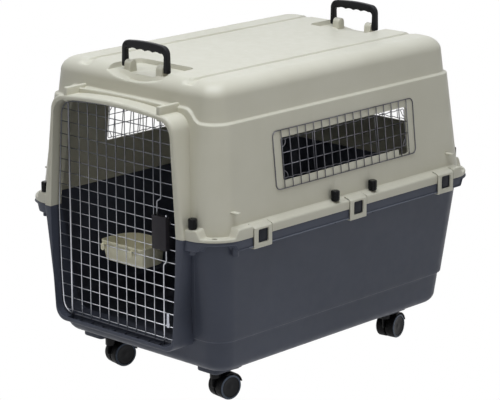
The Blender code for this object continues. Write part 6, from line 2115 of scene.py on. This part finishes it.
@dataclass
class SideClip:
    """Beige clip that snaps over both rims, with a window for the lower shell's catch."""

    side: str
    end: str
    middle: float
    length: float = 0.0635
    thick: float = 0.0038
    window_length: float = 0.037
    window_height: float = 0.0345
    window_shift: float = 0.0005
    face: float = 0.3548
    chamfer: float = 0.004
    cap_length: float = 0.019
    foot_length: float = 0.014
    clear: float = 0.0003
    edge: float = 0.0203
    foot_drop: float = 0.0263

    def profile(self) -> Array:
        """Section (x, z): cap over the upper rim, face, and foot under the lower rim."""
        face, thick, chamfer = self.face, self.thick, self.chamfer
        rim = Flange(True)
        out = face - self.clear - HALF_X
        slope = (rim.crown - rim.face - rim.chamfer) / (rim.reach - rim.chamfer)
        edge_z, foot = SPLIT_Z + self.edge, SPLIT_Z - self.foot_drop
        rise = SPLIT_Z + rim.crown - (out - self.cap_length) * slope + self.clear
        shoulder = SPLIT_Z + rim.crown - (out - chamfer) * slope + self.clear
        top_in, foot_in = face - self.clear - self.cap_length, face - self.foot_length
        return fillet([
            (foot_in, foot, 0.0003), (face, foot, 0.0012), (face, edge_z, 0.001),
            (face - chamfer, shoulder, 0.001), (top_in, rise, 0.0003), (top_in, rise + thick * 0.7, 0.0012),
            (face - chamfer, shoulder + thick * 0.8, 0.003), (face + thick, edge_z + thick * 0.4, 0.003),
            (face + thick, foot - thick * 0.7, 0.0018), (face + thick * 0.6, foot - thick, 0.0012),
            (foot_in, foot - thick, 0.0012)], 3)

    def build(self, workshop: Workshop) -> None:
        """Make and fit the clip."""
        way = 1.0 if self.side == "right" else -1.0
        half, centre = self.length / 2.0, self.middle + self.window_shift
        form, hole = Form(), Form()
        slab(form, self.profile() * (way, 1.0), self.middle - half, self.middle + half, 0.0010, Plane.XZ)
        clip = form.build(f"clip_{self.side}_{self.end}")
        half_y, half_z = self.window_length / 2.0, self.window_height / 2.0
        window = rounded_rectangle(
            (centre - half_y, SPLIT_Z - half_z), (centre + half_y, SPLIT_Z + half_z), 0.0035)
        low, high = sorted((way * (self.face - 0.0010), way * 0.366))
        slab(hole, window, low, high, 0.0001, Plane.YZ, 1)
        carve(clip, [hole.build("clip_window")])
        node = f"side_clip_{self.side}_{self.end}"
        workshop.fit(clip, Finish.CLIP, node, [node])


@dataclass
class ClampKnob:
    """Glossy ribbed knob with a rounded top."""

    key: str
    place: Pair
    radius: float = 0.0117
    height: float = 0.027
    ribs: int = 7
    rib_depth: float = 0.0018
    seat: float = 0.4972
    stud_radius: float = 0.0030
    stud_drop: float = 0.0307

    def build(self, workshop: Workshop) -> None:
        """Make and fit the knob. Its ribs are the upper halves of a wave round its wall."""
        turn = around(self.ribs * 10)
        wave = np.abs(np.cos(turn * self.ribs / 2.0)) ** 0.45
        r, h = self.radius, self.height
        # Each row's radius, its height, and the share of the ribs' depth
        rows = [
            (r - 0.0019, 0.0, 0.0), (r - 0.0015, 0.0003, 0.0), (r - 0.0015, 0.0016, 0.0),
            (r - 0.0007, 0.0022, 0.6), (r, 0.0032, 1.0), (r, h - 0.0044, 1.0), (r - 0.0003, h - 0.0027, 0.9),
            (r - 0.0013, h - 0.0010, 0.7), (r - 0.0026, h - 0.0002, 0.3), (r - 0.0040, h, 0.0),
            (r - 0.0060, h - 0.0005, 0.0), (0.0020, h - 0.0006, 0.0)]
        rings = []
        for radius, z, share in rows:
            reach = radius - self.rib_depth * share * (1.0 - wave)
            outline = np.stack([reach * np.cos(turn), reach * np.sin(turn)], -1) + self.place
            rings.append(at_height(outline, self.seat + z))
        form = Form()
        form.loft(np.array(rings))
        stud = circle(self.place, self.stud_radius, 14)
        slab(form, stud, SPLIT_Z - self.stud_drop, self.seat + 0.002, 0.0004, Plane.XY)
        knob, node = form.build("knob_" + self.key, 50.0), "clamp_knob_" + self.key
        workshop.fit(knob, Finish.KNOB, node, [node])


def build_shells(workshop: Workshop) -> None:
    """Make and fit both moulded shells, their rims and the frame of the doorway."""
    workshop.fit(UpperShell().build(), Finish.UPPER, "crate", ["upper_shell"])
    workshop.fit(LowerShell().build(), Finish.LOWER, "crate", ["lower_shell"])
    workshop.fit(Flange(True).build("upper_flange"), Finish.UPPER, "crate")
    lower = Flange(False)
    workshop.fit(lower.build("lower_flange"), Finish.LOWER, "crate")
    # The paler bead is a painted highlight along the lower rim's edge
    workshop.fit(lower.painted_highlight_bead(), Finish.HIGHLIGHT_BEAD, "crate")
    DoorSurround().build(workshop)


# Stage
@dataclass
class Studio:
    """White background, floor, lamps and the photo's camera."""

    camera_place: Place = (4.001, -4.29685, 1.9822)
    camera_aim: Place = (-0.0029, -0.01215, 0.4262)
    lens: float = 163.58
    sensor: float = 36.0
    sky: float = 0.02
    reach: float = 9.0
    lamp_aim: Place = (0.0, 0.0, 0.42)
    cool: Place = (0.89, 0.935, 1.0)
    warm: Place = (1.0, 0.97, 0.88)

    def world(self) -> None:
        """Plain white to the camera and in reflections, and a soft grey light for the rest."""
        world = bpy.data.worlds.new("studio_world")
        bpy.context.scene.world = world
        world.use_nodes = True
        make = NodeMaker(world.node_tree)
        world.node_tree.nodes.clear()
        white = make.add("ShaderNodeBackground", {"Color": (1.0, 1.0, 1.0, 1.0), "Strength": 1.0})
        soft = make.add("ShaderNodeBackground", {"Color": (0.96, 0.98, 1.0, 1.0), "Strength": self.sky})
        both = make.add("ShaderNodeMixShader", {0: make.seen(), 1: soft.outputs[0], 2: white.outputs[0]})
        make.add("ShaderNodeOutputWorld", {"Surface": both.outputs[0]})

    def lamp(self, name: str, place: Place, size: float, power: float, tint: Place) -> None:
        """Hang one square soft lamp.

        Args:
            name: The lamp's name.
            place: Where it hangs.
            size: Its width and height.
            power: Its power in watts.
            tint: Its colour.
        """
        data = bpy.data.lights.new(name, "AREA")
        data.shape = "RECTANGLE"
        data.size = data.size_y = size
        data.energy = power
        data.color = tint
        lamp = bpy.data.objects.new(name, data)
        bpy.context.scene.collection.objects.link(lamp)
        lamp.location = place
        lamp.rotation_euler = (Vector(self.lamp_aim) - Vector(place)).to_track_quat("-Z", "Y").to_euler()

    def floor(self) -> None:
        """White floor that fades into the background: plain white to the camera and in reflections, and a
        pale grey surface for the rest.
        """
        form = Form()
        x, y = np.meshgrid([-self.reach, self.reach], [-self.reach, self.reach])
        form.sheet(np.stack([x, y, np.zeros_like(x)], -1))
        floor = form.build("studio_floor")
        if floor.data.polygons[0].normal.z < 0.0:
            floor.data.flip_normals()
        material = bpy.data.materials.new("studio_floor")
        material.use_nodes = True
        make = NodeMaker(material.node_tree)
        shader = material.node_tree.nodes["Principled BSDF"]
        make.feed(shader, {"Base Color": (0.9, 0.9, 0.9, 1.0), "Roughness": 0.9, "Specular IOR Level": 0.0})
        glow = make.add("ShaderNodeEmission", {"Color": (1.0, 1.0, 1.0, 1.0), "Strength": 1.0})
        mixed = make.add("ShaderNodeMixShader", {0: make.seen(), 1: shader.outputs[0], 2: glow.outputs[0]})
        make.feed(material.node_tree.nodes["Material Output"], {"Surface": mixed.outputs[0]})
        floor.data.materials.append(material)

    def camera(self) -> None:
        """Place the camera where the photo was taken from."""
        data = bpy.data.cameras.new("photo_camera")
        data.lens = self.lens
        data.sensor_width = self.sensor
        data.clip_end = 60.0
        camera = bpy.data.objects.new("photo_camera", data)
        bpy.context.scene.collection.objects.link(camera)
        camera.location = self.camera_place
        aim = Vector(self.camera_aim) - Vector(self.camera_place)
        camera.rotation_euler = aim.to_track_quat("-Z", "Y").to_euler()
        bpy.context.scene.camera = camera

    def build(self) -> None:
        """Set the whole stage."""
        scene = bpy.context.scene
        scene.view_settings.view_transform = "Standard"
        self.world()
        self.floor()
        self.lamp("key_top", (0.3, -0.4, 3.4), 2.6, 93.0, self.cool)
        self.lamp("front_high", (-0.6, -3.0, 3.2), 2.2, 12.0, self.warm)
        self.lamp("side_high", (3.6, 0.4, 2.6), 2.2, 4.0, self.warm)
        self.lamp("side_low", (4.2, 0.6, 1.2), 2.2, 11.0, self.warm)
        self.lamp("corner_high", (2.2, -2.4, 2.3), 1.6, 12.0, self.warm)
        self.camera()


# Finish of each CAD node, by how its name begins
CAD_FINISHES = (
    ("window_", Finish.DARK_WIRE), ("door_grid", Finish.WIRE), ("hinge_rod", Finish.WIRE),
    ("latch_housing", Finish.HOUSING), ("latch_slide", Finish.BLACK), ("latch_rod", Finish.WIRE),
    ("latch_spring", Finish.WIRE), ("door_keeper", Finish.SHEET), ("feeding_bowl", Finish.BOWL),
    ("front_handle", Finish.BLACK), ("rear_handle", Finish.BLACK), ("caster_", Finish.BLACK),
    ("side_clip", Finish.CLIP), ("clamp_knob", Finish.BLACK), ("upper_shell", Finish.UPPER),
    ("lower_shell", Finish.LOWER))


def note_size() -> None:
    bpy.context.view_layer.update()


def fittings() -> list:
    """Every fitting on the shells, each able to build itself."""
    makers: list = [ShellFittings(), Door(), FeedingBowl(), CarryingHandle("front"), CarryingHandle("rear")]
    makers += [WindowWires(side) for side in ("right", "left", "rear")]
    # Each caster's name, its place, the way it has turned, and whether it has a brake
    makers += [Caster(*values) for values in (
        ("front_right", (0.193, -0.355), -8.0, True), ("front_left", (-0.193, -0.355), -12.0, True),
        ("rear_right", (0.193, 0.320), 10.0, False), ("rear_left", (-0.193, 0.320), -4.0, False))]
    for side in ("right", "left"):
        makers += [SideClip(side, end, y) for end, y in zip(("front", "middle", "rear"), clip_places())]
    return makers + [ClampKnob(key, place) for key, place in knob_places().items()]


def main() -> None:
    """Build the dressed crate and its stage."""
    logging.basicConfig(level=logging.INFO, format="%(message)s")
    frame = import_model()
    note_size()
    workshop = Workshop()
    for name, node in frame["nodes"].items():
        for prefix, finish in CAD_FINISHES:
            if name.startswith(prefix):
                workshop.coat(node, finish)
                break
    build_shells(workshop)
    for maker in fittings():
        maker.build(workshop)
    Studio().build()
    note_size()


if __name__ == "__main__":
    main()
